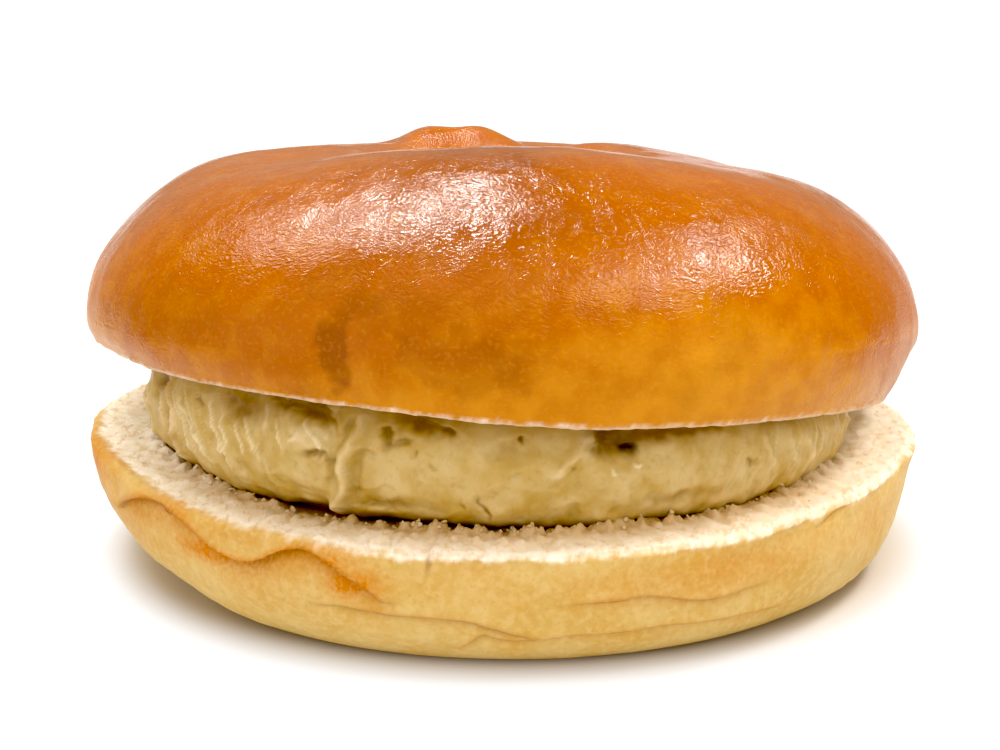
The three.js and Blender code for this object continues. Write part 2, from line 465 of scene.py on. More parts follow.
class Recipe:
    """A node tree under construction, with short calls for its nodes and links."""

    def __init__(self, tree: NodeTree) -> None:
        """Start from a tree.

        Args:
            tree: The tree to add to.
        """
        self.tree = tree

    def feed(self, socket: Socket, value: Value) -> None:
        """Set a socket to a value or a colour, or link an output to it."""
        if isinstance(value, Socket):
            self.tree.links.new(value, socket)
        else:
            socket.default_value = value.linear() if isinstance(value, Paint) else value

    def fill(self, node: Node, inputs: dict[str, Value]) -> Node:
        """Feed a node's inputs by name, and give the node back."""
        for name, value in inputs.items():
            self.feed(node.inputs[name], value)
        return node

    def add(
        self,
        kind: str,
        inputs: dict[str, Value] | None = None,
        settings: dict[str, object] | None = None,
    ) -> Node:
        """Add a node.

        Args:
            kind: Blender's name for the node's type, without its first word.
            inputs: Values or outputs for its input sockets, by name.
            settings: Values for its own properties, by name.

        Returns:
            The node.
        """
        node = self.tree.nodes.new("ShaderNode" + kind)
        for name, value in (settings or {}).items():
            setattr(node, name, value)
        return self.fill(node, inputs or {})

    def placed(self, group: NodeTree, inputs: dict[str, Value]) -> Node:
        """Add a group with its own values."""
        return self.fill(self.add("Group", settings={"node_tree": group}), inputs)

    def maths(self, operation: str, *values: Value) -> Socket:
        """Output of a Math node that works on the given values."""
        node = self.add("Math", settings={"operation": operation})
        for socket, value in zip(node.inputs, values):
            self.feed(socket, value)
        return node.outputs[0]

    def plus(self, value: Value, more: Value) -> Socket:
        """Sum of two values."""
        return self.maths("ADD", value, more)

    def times(self, value: Value, factor: Value) -> Socket:
        """Product of two values."""
        return self.maths("MULTIPLY", value, factor)

    def line(self, value: Value, slope: Value, start: Value) -> Socket:
        """Start plus slope times value."""
        return self.maths("MULTIPLY_ADD", value, slope, start)

    def split(self, share: Value, first: Value, second: Value) -> Socket:
        """First value times one less the share, plus second value times the share."""
        kept = self.times(first, self.maths("SUBTRACT", 1.0, share))
        return self.plus(kept, self.times(second, share))

    def blend(self, share: Value, first: Value, second: Value) -> Socket:
        """Output of a Mix node between two colours."""
        node = self.add("Mix", settings={"data_type": "RGBA"})
        for index, value in ((0, share), (6, first), (7, second)):
            self.feed(node.inputs[index], value)
        return node.outputs[2]

    def coats(self, colour: Value, *coats: tuple[Value, Value]) -> Socket:
        """Colour under several coats, each a share and a colour, laid on in turn."""
        for share, coat in coats:
            colour = self.blend(share, colour, coat)
        return colour

    def between(self, value: Value, low: float, high: float, least: float = 0.0, most: float = 1.0) -> Socket:
        """Output of a smooth Map Range from low and high to least and most."""
        span = {"Value": value, "From Min": low, "From Max": high, "To Min": least, "To Max": most}
        return self.add("MapRange", span, {"interpolation_type": "SMOOTHSTEP"}).outputs["Result"]

    def noise(self, place: Value, scale: Value, detail: float = 2.0, output: str = "Fac") -> Socket:
        """Output of a Noise Texture."""
        return self.add("TexNoise", {"Vector": place, "Scale": scale, "Detail": detail}).outputs[output]

    def shifted(self, place: Value, colour: Value, reach: float) -> Socket:
        """Output of a Vector Math node that moves places by a colour times the reach."""
        node = self.add("VectorMath", settings={"operation": "MULTIPLY_ADD"})
        for socket, value in zip(node.inputs, (colour, (reach, reach, reach), place)):
            self.feed(socket, value)
        return node.outputs["Vector"]

    def mask(self, name: str, output: str = "Fac") -> Socket:
        """Output of an attribute of the mesh."""
        return self.add("Attribute", settings={"attribute_name": name}).outputs[output]

    def bump(self, height: Value, depth: float) -> Socket:
        """Normal of a Bump node whose unit of height is a depth in metres."""
        return self.add("Bump", {"Height": height, "Distance": depth, "Strength": 1.0}).outputs["Normal"]


def new_group(
    name: str, inputs: dict[str, str], outputs: dict[str, str]
) -> tuple[Recipe, Node, Node]:
    """Start a shader node group.

    Args:
        name: The group's name.
        inputs: Kinds of its inputs by name, each the last word of Blender's name for it.
        outputs: Kinds of its outputs by name.

    Returns:
        The tree's recipe, its input node and its output node.
    """
    tree = bpy.data.node_groups.new(name, "ShaderNodeTree")
    for way, sockets in (("INPUT", inputs), ("OUTPUT", outputs)):
        for socket, kind in sockets.items():
            tree.interface.new_socket(socket, in_out=way, socket_type="NodeSocket" + kind)
    return Recipe(tree), tree.nodes.new("NodeGroupInput"), tree.nodes.new("NodeGroupOutput")


@dataclass
class Patterns:
    """Patterns that several finishes share, each a node group that is built once.

    A rise is the noise between which something comes up. The crumb has painted shade in its dips and
    pores and is white on its crests, and drawn is its scale along Y, so that it is drawn out from front
    to back.
    """

    patch_rise: Range = (0.32, 0.68)
    fleck_rise: Range = (0.52, 0.72)
    drawn: float = 0.42
    fluff_scale: float = 900.0
    fluff_rise: Range = (0.35, 0.65)
    pore_scale: float = 1050.0
    pore_rise: Range = (0.52, 0.68)
    pore_share: float = 0.36
    pore_depth: float = 0.6
    # Painted shade: shaded is the crumb's colour in its dips, and the pore colour is the colour in its pores.
    shaded: Paint = Paint(242, 230, 207)
    white: Paint = Paint(252, 244, 230)
    pore_shade: Paint = Paint(204, 163, 106)

    def __post_init__(self) -> None:
        """Build the groups."""
        self.mottle = self._mottle()
        self.crumb = self._crumb()

    def _mottle(self) -> NodeTree:
        """Soft patches at one size, and small flecks at another, both from zero to one."""
        recipe, start, end = new_group(
            "mottle",
            {"Vector": "Vector", "Patch Scale": "Float", "Fleck Scale": "Float"},
            {"Patches": "Float", "Flecks": "Float"},
        )
        place = start.outputs["Vector"]
        patches = recipe.noise(place, start.outputs["Patch Scale"], 4.0)
        flecks = recipe.noise(place, start.outputs["Fleck Scale"])
        recipe.feed(end.inputs["Patches"], recipe.between(patches, *self.patch_rise))
        recipe.feed(end.inputs["Flecks"], recipe.between(flecks, *self.fleck_rise))
        return recipe.tree

    def _crumb(self) -> NodeTree:
        """White crumb with painted shade in its dips and pores: its colour, and its height from about -1 to
        1.
        """
        recipe, start, end = new_group("crumb", {"Vector": "Vector"}, {"Color": "Color", "Height": "Float"})
        stretch = {"Vector": start.outputs["Vector"], "Scale": (1.0, self.drawn, 1.0)}
        place = recipe.add("Mapping", stretch).outputs["Vector"]
        fluff = recipe.noise(place, self.fluff_scale, 5.0)
        pores = recipe.between(recipe.noise(place, self.pore_scale), *self.pore_rise)
        # Painted shade: the colour darkens where the crumb's height dips and in its pores.
        colour = recipe.coats(
            self.shaded,
            (recipe.between(fluff, *self.fluff_rise), self.white),
            (recipe.times(pores, self.pore_share), self.pore_shade),
        )
        recipe.feed(end.inputs["Color"], colour)
        height = recipe.maths("SUBTRACT", fluff, recipe.times(pores, self.pore_depth))
        recipe.feed(end.inputs["Height"], height)
        return recipe.tree


# Finishes


def new_material(name: str) -> tuple[Material, Recipe, Node, Socket]:
    """Start a material.

    Args:
        name: The material's name.

    Returns:
        The material, its recipe, its Principled BSDF, and the piece's own coordinates.
    """
    material = bpy.data.materials.new(name)
    material.use_nodes = True
    recipe = Recipe(material.node_tree)
    place = recipe.add("TexCoord").outputs["Object"]
    return material, recipe, material.node_tree.nodes["Principled BSDF"], place


@dataclass(frozen=True)
class GlazedCrust:
    """Glossy egg-washed crust: orange-brown, golden towards the cut, finely wrinkled.

    Scales are lumps in a metre, and heights are in units of the bump's depth.
    """

    russet: Paint = Paint(169, 87, 2)
    golden: Paint = Paint(202, 130, 24)
    scorched: Paint = Paint(119, 54, 2)
    fleck: Paint = Paint(216, 150, 46)
    fleck_share: float = 0.15
    fleck_scale: float = 1700.0
    patch_share: float = 0.4
    patch_scale: float = 260.0
    bend_scale: float = 130.0
    bend_reach: float = 0.005
    wrinkle_scale: float = 3400.0
    wrinkle_height: float = 0.9
    grain_scale: float = 1900.0
    grain_height: float = 0.6
    fold_scale: float = 1250.0
    fold_height: float = 1.5
    wave_scale: float = 300.0
    blister_scale: float = 400.0
    blister_reach: float = 0.2
    blister_height: float = 0.8
    crumb_height: float = 0.8
    bump_depth: float = 0.0001
    gloss: float = 0.08
    patch_roughness: float = 0.05
    crumb_roughness: float = 0.55
    dull_roughness: float = 0.22
    specular: float = 0.32

    def material(self, patterns: Patterns) -> Material:
        """Build the material.

        The browning mask and soft patches blend golden to russet, flecks lighten it, and the crumb
        mask turns it into crumb. The wrinkles are noise in the bump that is drawn along the ring.

        Args:
            patterns: The shared patterns.

        Returns:
            The material.
        """
        material, recipe, shader, place = new_material("glazed_crust")
        scales = {"Patch Scale": self.patch_scale, "Fleck Scale": self.fleck_scale}
        mottle = recipe.placed(patterns.mottle, {"Vector": place, **scales})
        crumb = recipe.placed(patterns.crumb, {"Vector": place})
        patches, cut = mottle.outputs["Patches"], recipe.mask("crumb")
        uneven = recipe.times(recipe.maths("SUBTRACT", patches, 0.5), self.patch_share)
        colour = recipe.coats(
            self.golden,
            (recipe.plus(recipe.mask("browned"), uneven), self.russet),
            (recipe.mask("scorched"), self.scorched),
            (recipe.times(mottle.outputs["Flecks"], self.fleck_share), self.fleck),
            (cut, crumb.outputs["Color"]),
        )
        bent = recipe.noise(place, self.bend_scale, output="Color")
        flow = recipe.shifted(recipe.mask("flow", "Vector"), bent, self.bend_reach)
        wrinkles = recipe.plus(
            recipe.times(recipe.noise(flow, self.wrinkle_scale), self.wrinkle_height),
            recipe.times(recipe.noise(place, self.grain_scale), self.grain_height),
        )
        folds = recipe.maths("ABSOLUTE", recipe.maths("SUBTRACT", recipe.noise(flow, self.fold_scale), 0.5))
        waves = recipe.line(folds, self.fold_height, recipe.noise(place, self.wave_scale))
        dots = recipe.add("TexVoronoi", {"Vector": place, "Scale": self.blister_scale, "Randomness": 1.0})
        blisters = recipe.between(dots.outputs["Distance"], 0.0, self.blister_reach, self.blister_height, 0.0)
        skin = recipe.plus(recipe.plus(wrinkles, waves), blisters)
        height = recipe.split(cut, skin, recipe.times(crumb.outputs["Height"], self.crumb_height))
        rough = recipe.plus(
            recipe.times(cut, self.crumb_roughness), recipe.line(patches, self.patch_roughness, self.gloss)
        )
        recipe.fill(shader, {
            "Base Color": colour,
            "Roughness": recipe.line(recipe.mask("dull"), self.dull_roughness, rough),
            "Normal": recipe.bump(height, self.bump_depth),
            "Specular IOR Level": self.specular,
        })
        return material


@dataclass(frozen=True)
class PaleCrust:
    """Soft pale golden crust with toasted folds, and white crumb where it is cut.

    Scales are lumps in a metre, and heights are in units of the bump's depth.
    """

    straw: Paint = Paint(200, 158, 80)
    pale: Paint = Paint(207, 174, 106)
    bloom: Paint = Paint(222, 194, 132)
    toasted: Paint = Paint(199, 117, 5)
    fleck: Paint = Paint(180, 124, 52)
    crease_shade: Paint = Paint(128, 70, 8)
    soaked_and_shade: Paint = Paint(176, 130, 52)
    fleck_share: float = 0.2
    fleck_scale: float = 1500.0
    patch_scale: float = 130.0
    bloom_scale: float = 900.0
    bloom_rise: Range = (0.4, 0.7)
    bloom_share: float = 0.4
    speckle_scale: float = 1700.0
    speckle_rise: Range = (0.35, 0.65)
    speckle_shares: Range = (0.7, 1.2)
    swell_scale: float = 260.0
    swell_height: float = 1.5
    crumb_height: float = 0.9
    bump_depth: float = 0.00009
    roughness: float = 0.55
    crumb_roughness: float = 0.3
    specular: float = 0.3
    softness: float = 0.15
    soft_depth: float = 0.0012

    def material(self, patterns: Patterns) -> Material:
        """Build the material.

        Soft patches blend straw to pale, fine noise adds bloom, the toasted mask adds orange, and the
        crumb mask turns it into crumb. The soak and crease masks darken it. By the patty's edge this is
        painted shade and partly the crumb's soaked colour, and along the folds and a crack it is painted
        shade. Fine noise in the bump gives the skin its grain.

        Args:
            patterns: The shared patterns.

        Returns:
            The material.
        """
        material, recipe, shader, place = new_material("pale_crust")
        scales = {"Patch Scale": self.patch_scale, "Fleck Scale": self.fleck_scale}
        mottle = recipe.placed(patterns.mottle, {"Vector": place, **scales})
        crumb = recipe.placed(patterns.crumb, {"Vector": place})
        cut = recipe.mask("crumb")
        fine = recipe.noise(place, self.bloom_scale, 4.0)
        speckle = recipe.noise(place, self.speckle_scale, 3.0)
        speckle = recipe.between(speckle, *self.speckle_rise, *self.speckle_shares)
        colour = recipe.coats(
            self.straw,
            (mottle.outputs["Patches"], self.pale),
            (recipe.between(fine, *self.bloom_rise, 0.0, self.bloom_share), self.bloom),
            (recipe.times(recipe.mask("toasted"), speckle), self.toasted),
            (recipe.times(mottle.outputs["Flecks"], self.fleck_share), self.fleck),
            (cut, crumb.outputs["Color"]),
            # Painted shade: darker by and under the patty's edge, and along the fold lines and a crack.
            (recipe.mask("soaked_and_shade"), self.soaked_and_shade),
            (recipe.mask("crease_shade"), self.crease_shade),
        )
        skin = recipe.plus(fine, recipe.times(recipe.noise(place, self.swell_scale, 3.0), self.swell_height))
        height = recipe.split(cut, skin, recipe.times(crumb.outputs["Height"], self.crumb_height))
        recipe.fill(shader, {
            "Base Color": colour,
            "Roughness": recipe.line(cut, self.crumb_roughness, self.roughness),
            "Normal": recipe.bump(height, self.bump_depth),
            "Specular IOR Level": self.specular,
            "Subsurface Weight": self.softness,
            "Subsurface Scale": self.soft_depth,
        })
        return material


@dataclass(frozen=True)
class CookedPatty:
    """Moist pale cooked patty, lighter on its fibres and browner in its hollows, where the browning is
    partly painted shade; two small pale spots are painted glints.

    Scales are lumps in a metre, and heights are in units of the bump's depth.
    """

    flesh: Paint = Paint(186, 152, 82)
    milky_and_glint: Paint = Paint(224, 202, 158)
    browned: Paint = Paint(126, 86, 18)
    burnt_and_shade: Paint = Paint(40, 22, 4)
    fleck_share: float = 0.16
    fleck_scale: float = 900.0
    patch_share: float = 0.36
    patch_scale: float = 260.0
    grain_scale: float = 800.0
    swell_scale: float = 240.0
    swell_height: float = 2.0
    bump_depth: float = 0.00008
    roughness: float = 0.32
    patch_roughness: float = 0.15
    specular: float = 0.35
    softness: float = 0.25
    soft_depth: float = 0.0015

    def material(self, patterns: Patterns) -> Material:
        """Build the material.

        Soft patches and the fibre mask lighten the flesh, and the same pale mask paints two glints. The
        browned and burnt masks darken it, partly as painted shade in the hollows, under the top half's
        edge and at the foot.

        Args:
            patterns: The shared patterns.

        Returns:
            The material.
        """
        material, recipe, shader, place = new_material("cooked_patty")
        scales = {"Patch Scale": self.patch_scale, "Fleck Scale": self.fleck_scale}
        mottle = recipe.placed(patterns.mottle, {"Vector": place, **scales})
        patches = mottle.outputs["Patches"]
        # Painted light: the pale coat also carries two painted glints, and the browned and burnt coats carry
        # painted shade.
        colour = recipe.coats(
            self.flesh,
            (recipe.plus(recipe.mask("milky_and_glint"), recipe.times(patches, self.patch_share)), self.milky_and_glint),
            (recipe.times(mottle.outputs["Flecks"], self.fleck_share), self.browned),
            (recipe.mask("browned"), self.browned),
            (recipe.mask("burnt_and_shade"), self.burnt_and_shade),
        )
        swells = recipe.times(recipe.noise(place, self.swell_scale, 3.0), self.swell_height)
        height = recipe.plus(recipe.noise(place, self.grain_scale, 3.0), swells)
        recipe.fill(shader, {
            "Base Color": colour,
            "Roughness": recipe.line(patches, self.patch_roughness, self.roughness),
            "Normal": recipe.bump(height, self.bump_depth),
            "Specular IOR Level": self.specular,
            "Subsurface Weight": self.softness,
            "Subsurface Scale": self.soft_depth,
        })
        return material


# The bottom half


@dataclass(frozen=True)
class Outline:
    """The patty's outline from above: a circle drawn in at the back and let out at the sides."""

    radius: float = 47.0
    back_inset: float = 4.5
    back_angle: float = 80.0
    sides: tuple[Swell, ...] = (Swell(-14.0, 26.0, 1.2), Swell(-172.0, 15.0, 1.0))

    def at(self, angle: Array) -> Array:
        """Radius less the square of a cosine at the back, plus a bell at each side."""
        back = (1.0 + np.cos(np.radians(angle - self.back_angle))) / 2.0
        return self.radius - self.back_inset * back**2 + sum(side.at(angle) for side in self.sides)


@dataclass(frozen=True)
class Fold:
    """A fold in the crust whose upper side overhangs its lower side.

    Attributes:
        course: (angle, height) points of the line that shows.
        depth: How far the lower side falls back.
        lip: How far the upper side stands out.
        droop: How far the lip hangs down.
        reach: Height over which lip and groove die out.
        toast: How toasted the groove is, from zero to one.
        ends: Turns over which the fold fades at its two ends.
        line: How dark the painted shade line along the fold is.
        step: Height over which lip turns into groove.
        droop_share: Share of the reach over which the droop dies out.
        groove_share: Share of the reach over which the toasting below dies out.
        lip_toast: How toasted the lip is beside the groove, its middle above the line, and its spread.
        line_place: Middle of the painted shade line below the fold, and its spread.
    """

    course: Course
    depth: float
    lip: float
    droop: float
    reach: float
    toast: float
    ends: Range = (4.0, 4.0)
    line: float = 0.4
    step: float = 0.17
    droop_share: float = 0.6
    groove_share: float = 1.25
    lip_toast: tuple[float, float, float] = (0.9, 0.15, 0.7)
    line_place: Range = (0.1, 0.27)

    def relief(self, angle: Array, height: Array) -> tuple[Array, Array, Array, Array]:
        """Work out what the fold does to the wall.

        With s the height above the fold's course, the wall stands out by the lip where s is positive,
        and falls back by the depth where it is negative, both dying out over the reach. The change
        between them is a steep hyperbolic tangent, and the whole fades at the course's ends.

        Args:
            angle: Angles on the wall.
            height: Heights on the wall.

        Returns:
            How far the wall moves out, how far it droops, how toasted it is, and the painted shade line.
        """
        first, last = self.course[0][0], self.course[-1][0]
        start, end = self.ends
        middle = (first + last) / 2.0
        here = middle + turn(middle, angle)
        present = smooth(here, first - start, first + start) * (1.0 - smooth(here, last - end, last + end))
        above = height - course_at(self.course, here) - self.droop * present
        away = -np.abs(above)
        upper = 0.5 * (1.0 + np.tanh(above / self.step))
        out = present * np.exp(away / self.reach) * (self.lip * upper - self.depth * (1.0 - upper))
        droop = present * self.droop * upper * np.exp(away / (self.droop_share * self.reach))
        groove = (1.0 - upper) * np.exp(away / (self.groove_share * self.reach))
        share, lift, spread = self.lip_toast
        toast = present * self.toast * np.maximum(groove, share * bell(above - lift, spread))
        # The last value is a painted shade line just below the fold, where the lip overhangs.
        sink, width = self.line_place
        return out, droop, toast, self.line * present * bell(above + sink, width)


@dataclass
class BottomHalf(Piece):
    """Bottom half of the bagel, whose cut face carries the patty. Rows are counts of rings."""

    node = "bagel_bottom"
    slot = "pale_crust"
    outline: Outline
    seed: int = 3
    steps: RingSteps = RingSteps()
    centre_y: float = -2.0
    rim_radius: float = 55.2
    foot_radius: float = 44.4
    foot_shift: float = 1.8
    foot_widening: float = 1.0
    height: float = 17.0
    drop: float = 2.6
    drop_angle: float = 70.0
    curl_lift: float = 1.8
    curl_angles: Range = (-168.0, -10.0)
    curl_spread: float = 32.0
    wall_power: float = 1.16
    wall_gather: float = 1.5
    left_lean: Swell = Swell(180.0, 35.0, 2.1)
    foot_power: float = 0.67
    edge_round: float = 0.7
    dish: float = 1.2
    pressed_radius: float = 36.0
    free_radius: float = 48.0
    fine_radius: float = 43.0
    open_radius: float = 41.0
    hole_radius: float = 7.0
    hole_flare: float = 2.0
    foot_rows: int = 5
    wall_rows: int = 86
    fine_rows: int = 34
    coarse_rows: int = 6
    hidden: float = -20.0
    open_rise: Rise = Rise(0.1, 0.8)
    skin_rise: Rise = Rise(0.2, 2.5)
    cut_rise: Rise = Rise(-0.5, 0.6)
    fold_foot: Rise = Rise(-19.0, -16.0)
    fold_rim: Rise = Rise(-0.4, 0.2)
    fold_lift: Rise = Rise(0.2, 3.0)
    rim_bulges: tuple[Patch, ...] = (
        Patch(-14.0, 0.0, 24.0, 6.0, 0.5),
        Patch(-176.0, 0.0, 24.0, 3.0, 0.35),
        Patch(-6.0, 0.0, 14.0, 1.4, 0.8),
    )
    rim_spread: float = 1.6
    rim_wander: Grain = Grain(0.35, 9.0, 3, 60.0)
    rim_wave: Grain = Grain(0.3, 7.0, 3, 90.0)
    dough: tuple[Grain, ...] = (Grain(0.3, 11.0, 3, 70.0), Grain(0.04, 1.6, 2, 80.0))
    ragged: tuple[Grain, ...] = (Grain(0.54, 4.0, 2, 40.0), Grain(0.405, 0.9, 2, 44.0))
    thick_edge: Swell = Swell(-160.0, 34.0, 1.6)
    torn_rise: Rise = Rise(1.5, 6.5)
    calm: tuple[Swell, ...] = (Swell(-172.0, 26.0, 0.7), Swell(-5.0, 24.0, 0.5))
    calm_grain: float = 0.5
    crumb_swells: Grain = Grain(0.16, 4.5, 2, 23.0)
    crumb_grains: tuple[Grain | Pores, ...] = (Grain(0.22, 1.0, 1, 11.0), Pores(0.42, 1.4, 0.6, 51.0))
    crumb_pores: Pores = Pores(1.0, 1.8, 0.26)
    pore_depths: Range = (0.1, 0.44)
    drawn_ring: float = 52.0
    drawn_share: float = 0.5
    bank_height: float = 0.8
    bank_inset: float = 0.6
    bank_width: float = 1.0
    bank_gaps: tuple[Swell, ...] = (Swell(-121.0, 6.0, 0.75), Swell(-108.5, 4.0, 0.5))
    mound_middle: float = 0.6
    mound_grain: Grain = Grain(2.0, 1.7, 3, 63.0)
    mound_range: Range = (0.1, 1.6)
    mound_rise: Rise = Rise(0.4, 1.1, 0.75)
    # Painted shade: the dips between the mounds by the patty, and the crumb by and under the patty, which
    # there is partly also soaked in colour.
    hollow_rise: Rise = Rise(-2.4, -0.1)
    hollow_shade: float = 0.06
    hollow_line: float = 0.16
    damp_shade_rises: tuple[Rise, ...] = (Rise(-8.5, -0.5, 0.38), Rise(-2.0, 0.8, 0.14))
    damp_shade_behind: float = 0.06
    wet_shade_rise: Rise = Rise(0.8, 2.4, 0.8)
    whiter_side: Swell = Swell(-168.0, 34.0, 0.26)
    haze: Rise = Rise(-0.2, 0.7, 0.18)
    haze_height: Rise = Rise(5.0, 13.0)
    haze_grain: Grain = Grain(1.0, 26.0, 2)
    blush_grain: Grain = Grain(0.3, 4.0, 2, 33.0)
    # A short upright crack, drawn only as painted shade.
    nick: Patch = Patch(-98.9, 15.6, 0.3, 1.3, 0.5)
    nick_wander: Grain = Grain(0.25, 1.0, 1, 8.0)
    blushes: tuple[Patch, ...] = (
        Patch(-112.0, 14.8, 4.6, 1.7, 1.0),
        Patch(-108.6, 12.4, 4.2, 2.4, 1.15),
        Patch(-131.0, 12.4, 6.5, 1.7, 1.0),
        Patch(-120.5, 12.8, 3.2, 1.0, 0.55),
        Patch(-139.0, 16.9, 5.0, 0.9, 0.6),
        Patch(-147.0, 13.8, 7.0, 1.7, 0.65),
        Patch(-164.0, 16.2, 11.0, 2.2, 0.9),
        Patch(-126.0, 15.6, 7.0, 1.2, 0.35),
        Patch(-60.0, 12.2, 20.0, 3.4, 0.42),
        Patch(-76.0, 12.6, 9.0, 2.4, 0.25),
        Patch(-28.0, 12.0, 14.0, 4.0, 0.3),
        Patch(-160.0, 12.5, 16.0, 5.0, 0.46),
    )
    folds: tuple[Fold, ...] = (
        Fold(
            (
                (-153.1, 12.6), (-150.6, 14.0), (-145.9, 15.6), (-143.1, 16.0), (-140.7, 16.0),
                (-137.3, 15.7), (-134.3, 15.0), (-132.0, 14.0), (-129.6, 12.9), (-126.8, 12.2),
                (-124.2, 12.2), (-122.2, 12.8), (-120.0, 14.0), (-118.0, 14.8), (-116.0, 15.2),
                (-114.6, 15.1), (-112.6, 14.5), (-110.6, 13.6), (-108.6, 12.5), (-106.5, 11.4),
                (-105.0, 10.4),
            ),
            1.35, 0.75, 0.7, 2.2, 1.0, (9.0, 3.0), 1.0,
        ),
        Fold(
            (
                (-112.0, 8.8), (-105.6, 8.5), (-99.0, 8.3), (-95.1, 8.2), (-93.2, 8.0), (-91.3, 7.4),
                (-88.7, 6.5), (-86.0, 5.9),
            ),
            1.1, 0.5, 0.4, 1.2, 0.25, (5.0, 3.0), 0.8,
        ),
        Fold(
            (
                (-95.4, 3.6), (-93.9, 5.0), (-92.3, 6.1), (-91.0, 5.6), (-89.3, 5.2), (-84.7, 5.2),
                (-79.4, 5.6), (-76.7, 5.7), (-71.3, 5.8), (-63.9, 5.4), (-56.0, 5.1), (-48.6, 4.7),
            ),
            1.0, 0.5, 0.4, 1.2, 0.2, (1.5, 5.0), 0.75,
        ),
        Fold(
            (
                (-80.0, 10.3), (-75.4, 10.4), (-72.2, 10.5), (-68.8, 9.9), (-65.1, 9.0), (-60.6, 8.7),
                (-55.0, 9.2),
            ),
            0.6, 0.35, 0.3, 0.9, 0.45, line=0.35,
        ),
        Fold(((-43.7, 14.9), (-40.5, 15.8), (-36.4, 16.3)), 0.35, 0.25, 0.2, 0.7, 0.4, (2.0, 2.0)),
        Fold(((15.0, 6.5), (32.0, 8.6), (50.0, 7.2), (72.0, 9.0)), 0.9, 0.5, 0.4, 2.0, 0.4),
        Fold(((95.0, 5.4), (118.0, 7.6), (140.0, 6.4), (165.0, 8.8)), 0.8, 0.4, 0.4, 1.8, 0.3),
    )

    def cut_height(self, angle: Array, radius: Array) -> Array:
        """Height of the cut face: a tilted plane, pressed under the patty, curled up at two ends.

        The last stretch before the rim turns down with the square of its share.

        Args:
            angle: Angles on the face.
            radius: Radii on the face.

        Returns:
            Heights above the table.
        """
        tilt = (1.0 + radius / self.rim_radius * np.cos(np.radians(angle - self.drop_angle))) / 2.0
        pressed = 1.0 - ramp(radius, self.pressed_radius, self.free_radius)
        curled = sum(bell(turn(end, angle), self.curl_spread) for end in self.curl_angles)
        curl = self.curl_lift * curled * ramp(radius, self.pressed_radius, self.rim_radius)
        edge = ramp(radius, self.rim_radius - 2.0 * self.edge_round, self.rim_radius)
        return self.height - self.drop * tilt - self.dish * pressed + curl - self.edge_round * edge**2

    def section(self, angle: Array) -> tuple[Array, Array, Array]:
        """Sections at every angle, from the hole's foot out, up the wall, in over the face and down.

        The wall's radius is a power of a cosine between foot and rim, and its height one less a power
        of the sine, so that it turns softly into the foot and stands steep at the rim.

        Args:
            angle: Angles of the columns.

        Returns:
            Radii, heights, and the way in from the rim: negative down the wall, positive on the face.
        """
        around_x = np.cos(np.radians(angle))[None, :]
        foot = self.foot_radius + self.foot_shift * around_x + self.foot_widening * around_x**2
        power = self.wall_power + self.left_lean.at(angle)[None, :]
        edge = self.cut_height(angle, np.array(self.rim_radius))[None, :]
        ones = np.ones((1, len(angle)))
        share = np.linspace(0.0, 1.0, self.foot_rows, endpoint=False)[:, None]
        foot_radius = mix(self.hole_radius + self.hole_flare, foot, share)
        hole_radius = self.hole_radius + self.hole_flare * share
        hole_height = self.cut_height(angle[None, :], np.array(self.hole_radius)) * (1.0 - share)
        share = np.linspace(0.0, 1.0, self.wall_rows, endpoint=False)[:, None]
        lean = np.pi / 2.0 * (1.0 - share) ** self.wall_gather
        wall_height = edge * (1.0 - np.sin(lean) ** self.foot_power)
        wall_radius = foot + (self.rim_radius - foot) * np.cos(lean) ** power
        rings = np.concatenate([
            np.linspace(self.rim_radius, self.fine_radius, self.fine_rows, endpoint=False),
            np.linspace(self.fine_radius, self.hole_radius, self.coarse_rows, endpoint=False),
        ])[:, None]
        face_height = self.cut_height(angle[None, :], rings)
        radius = np.concatenate([foot_radius, wall_radius, rings * ones, hole_radius * ones])
        height = np.concatenate([np.zeros_like(foot_radius), wall_height, face_height, hole_height])
        inward = np.concatenate([
            np.full_like(foot_radius, self.hidden),
            wall_height - edge,
            (self.rim_radius - rings) * ones,
            np.full_like(hole_height, self.hidden),
        ])
        return radius, height, inward

    def crumb_relief(self, plain: Array, angle: Array, radius: Array) -> Array:
        """Relief of the torn crumb on the cut face.

        It is soft swells, plus grains that are drawn out and grow towards the patty, less a few pores,
        plus a ragged bank against the patty.

        Args:
            plain: Points on the plain face.
            angle: Their angles.
            radius: Their radii.

        Returns:
            How far the crumb stands above the plain face.
        """
        noise = Noise(self.seed)
        calm = sum(side.at(angle) for side in self.calm)
        torn = self.torn_rise.at(self.rim_radius - radius) * (1.0 - calm)
        drawn = around(self.drawn_ring, self.drawn_share * radius, angle)
        grains = mix(self.calm_grain, 1.0, torn) * layered(self.crumb_grains, noise, drawn)
        pores = mix(*self.pore_depths, torn) * self.crumb_pores.at(noise, drawn)
        bank = self.mounds(plain) * self.bank(angle, radius)
        return self.crumb_swells.at(noise, plain) + grains - pores + bank

    def mounds(self, plain: Array) -> Array:
        """Raggedness of the bank: fine layered noise about a middle height, kept above nothing."""
        return np.clip(self.mound_middle + self.mound_grain.at(Noise(self.seed), plain), *self.mound_range)

    def hollows(self, plain: Array, angle: Array, radius: Array) -> Array:
        """Share of painted shade on the crumb between the mounds: a rise to the patty where they are low."""
        near = self.hollow_rise.at(self.outline.at(angle) - radius)
        return facing(angle, 60.0, 90.0) * near * (1.0 - self.mound_rise.at(self.mounds(plain)))

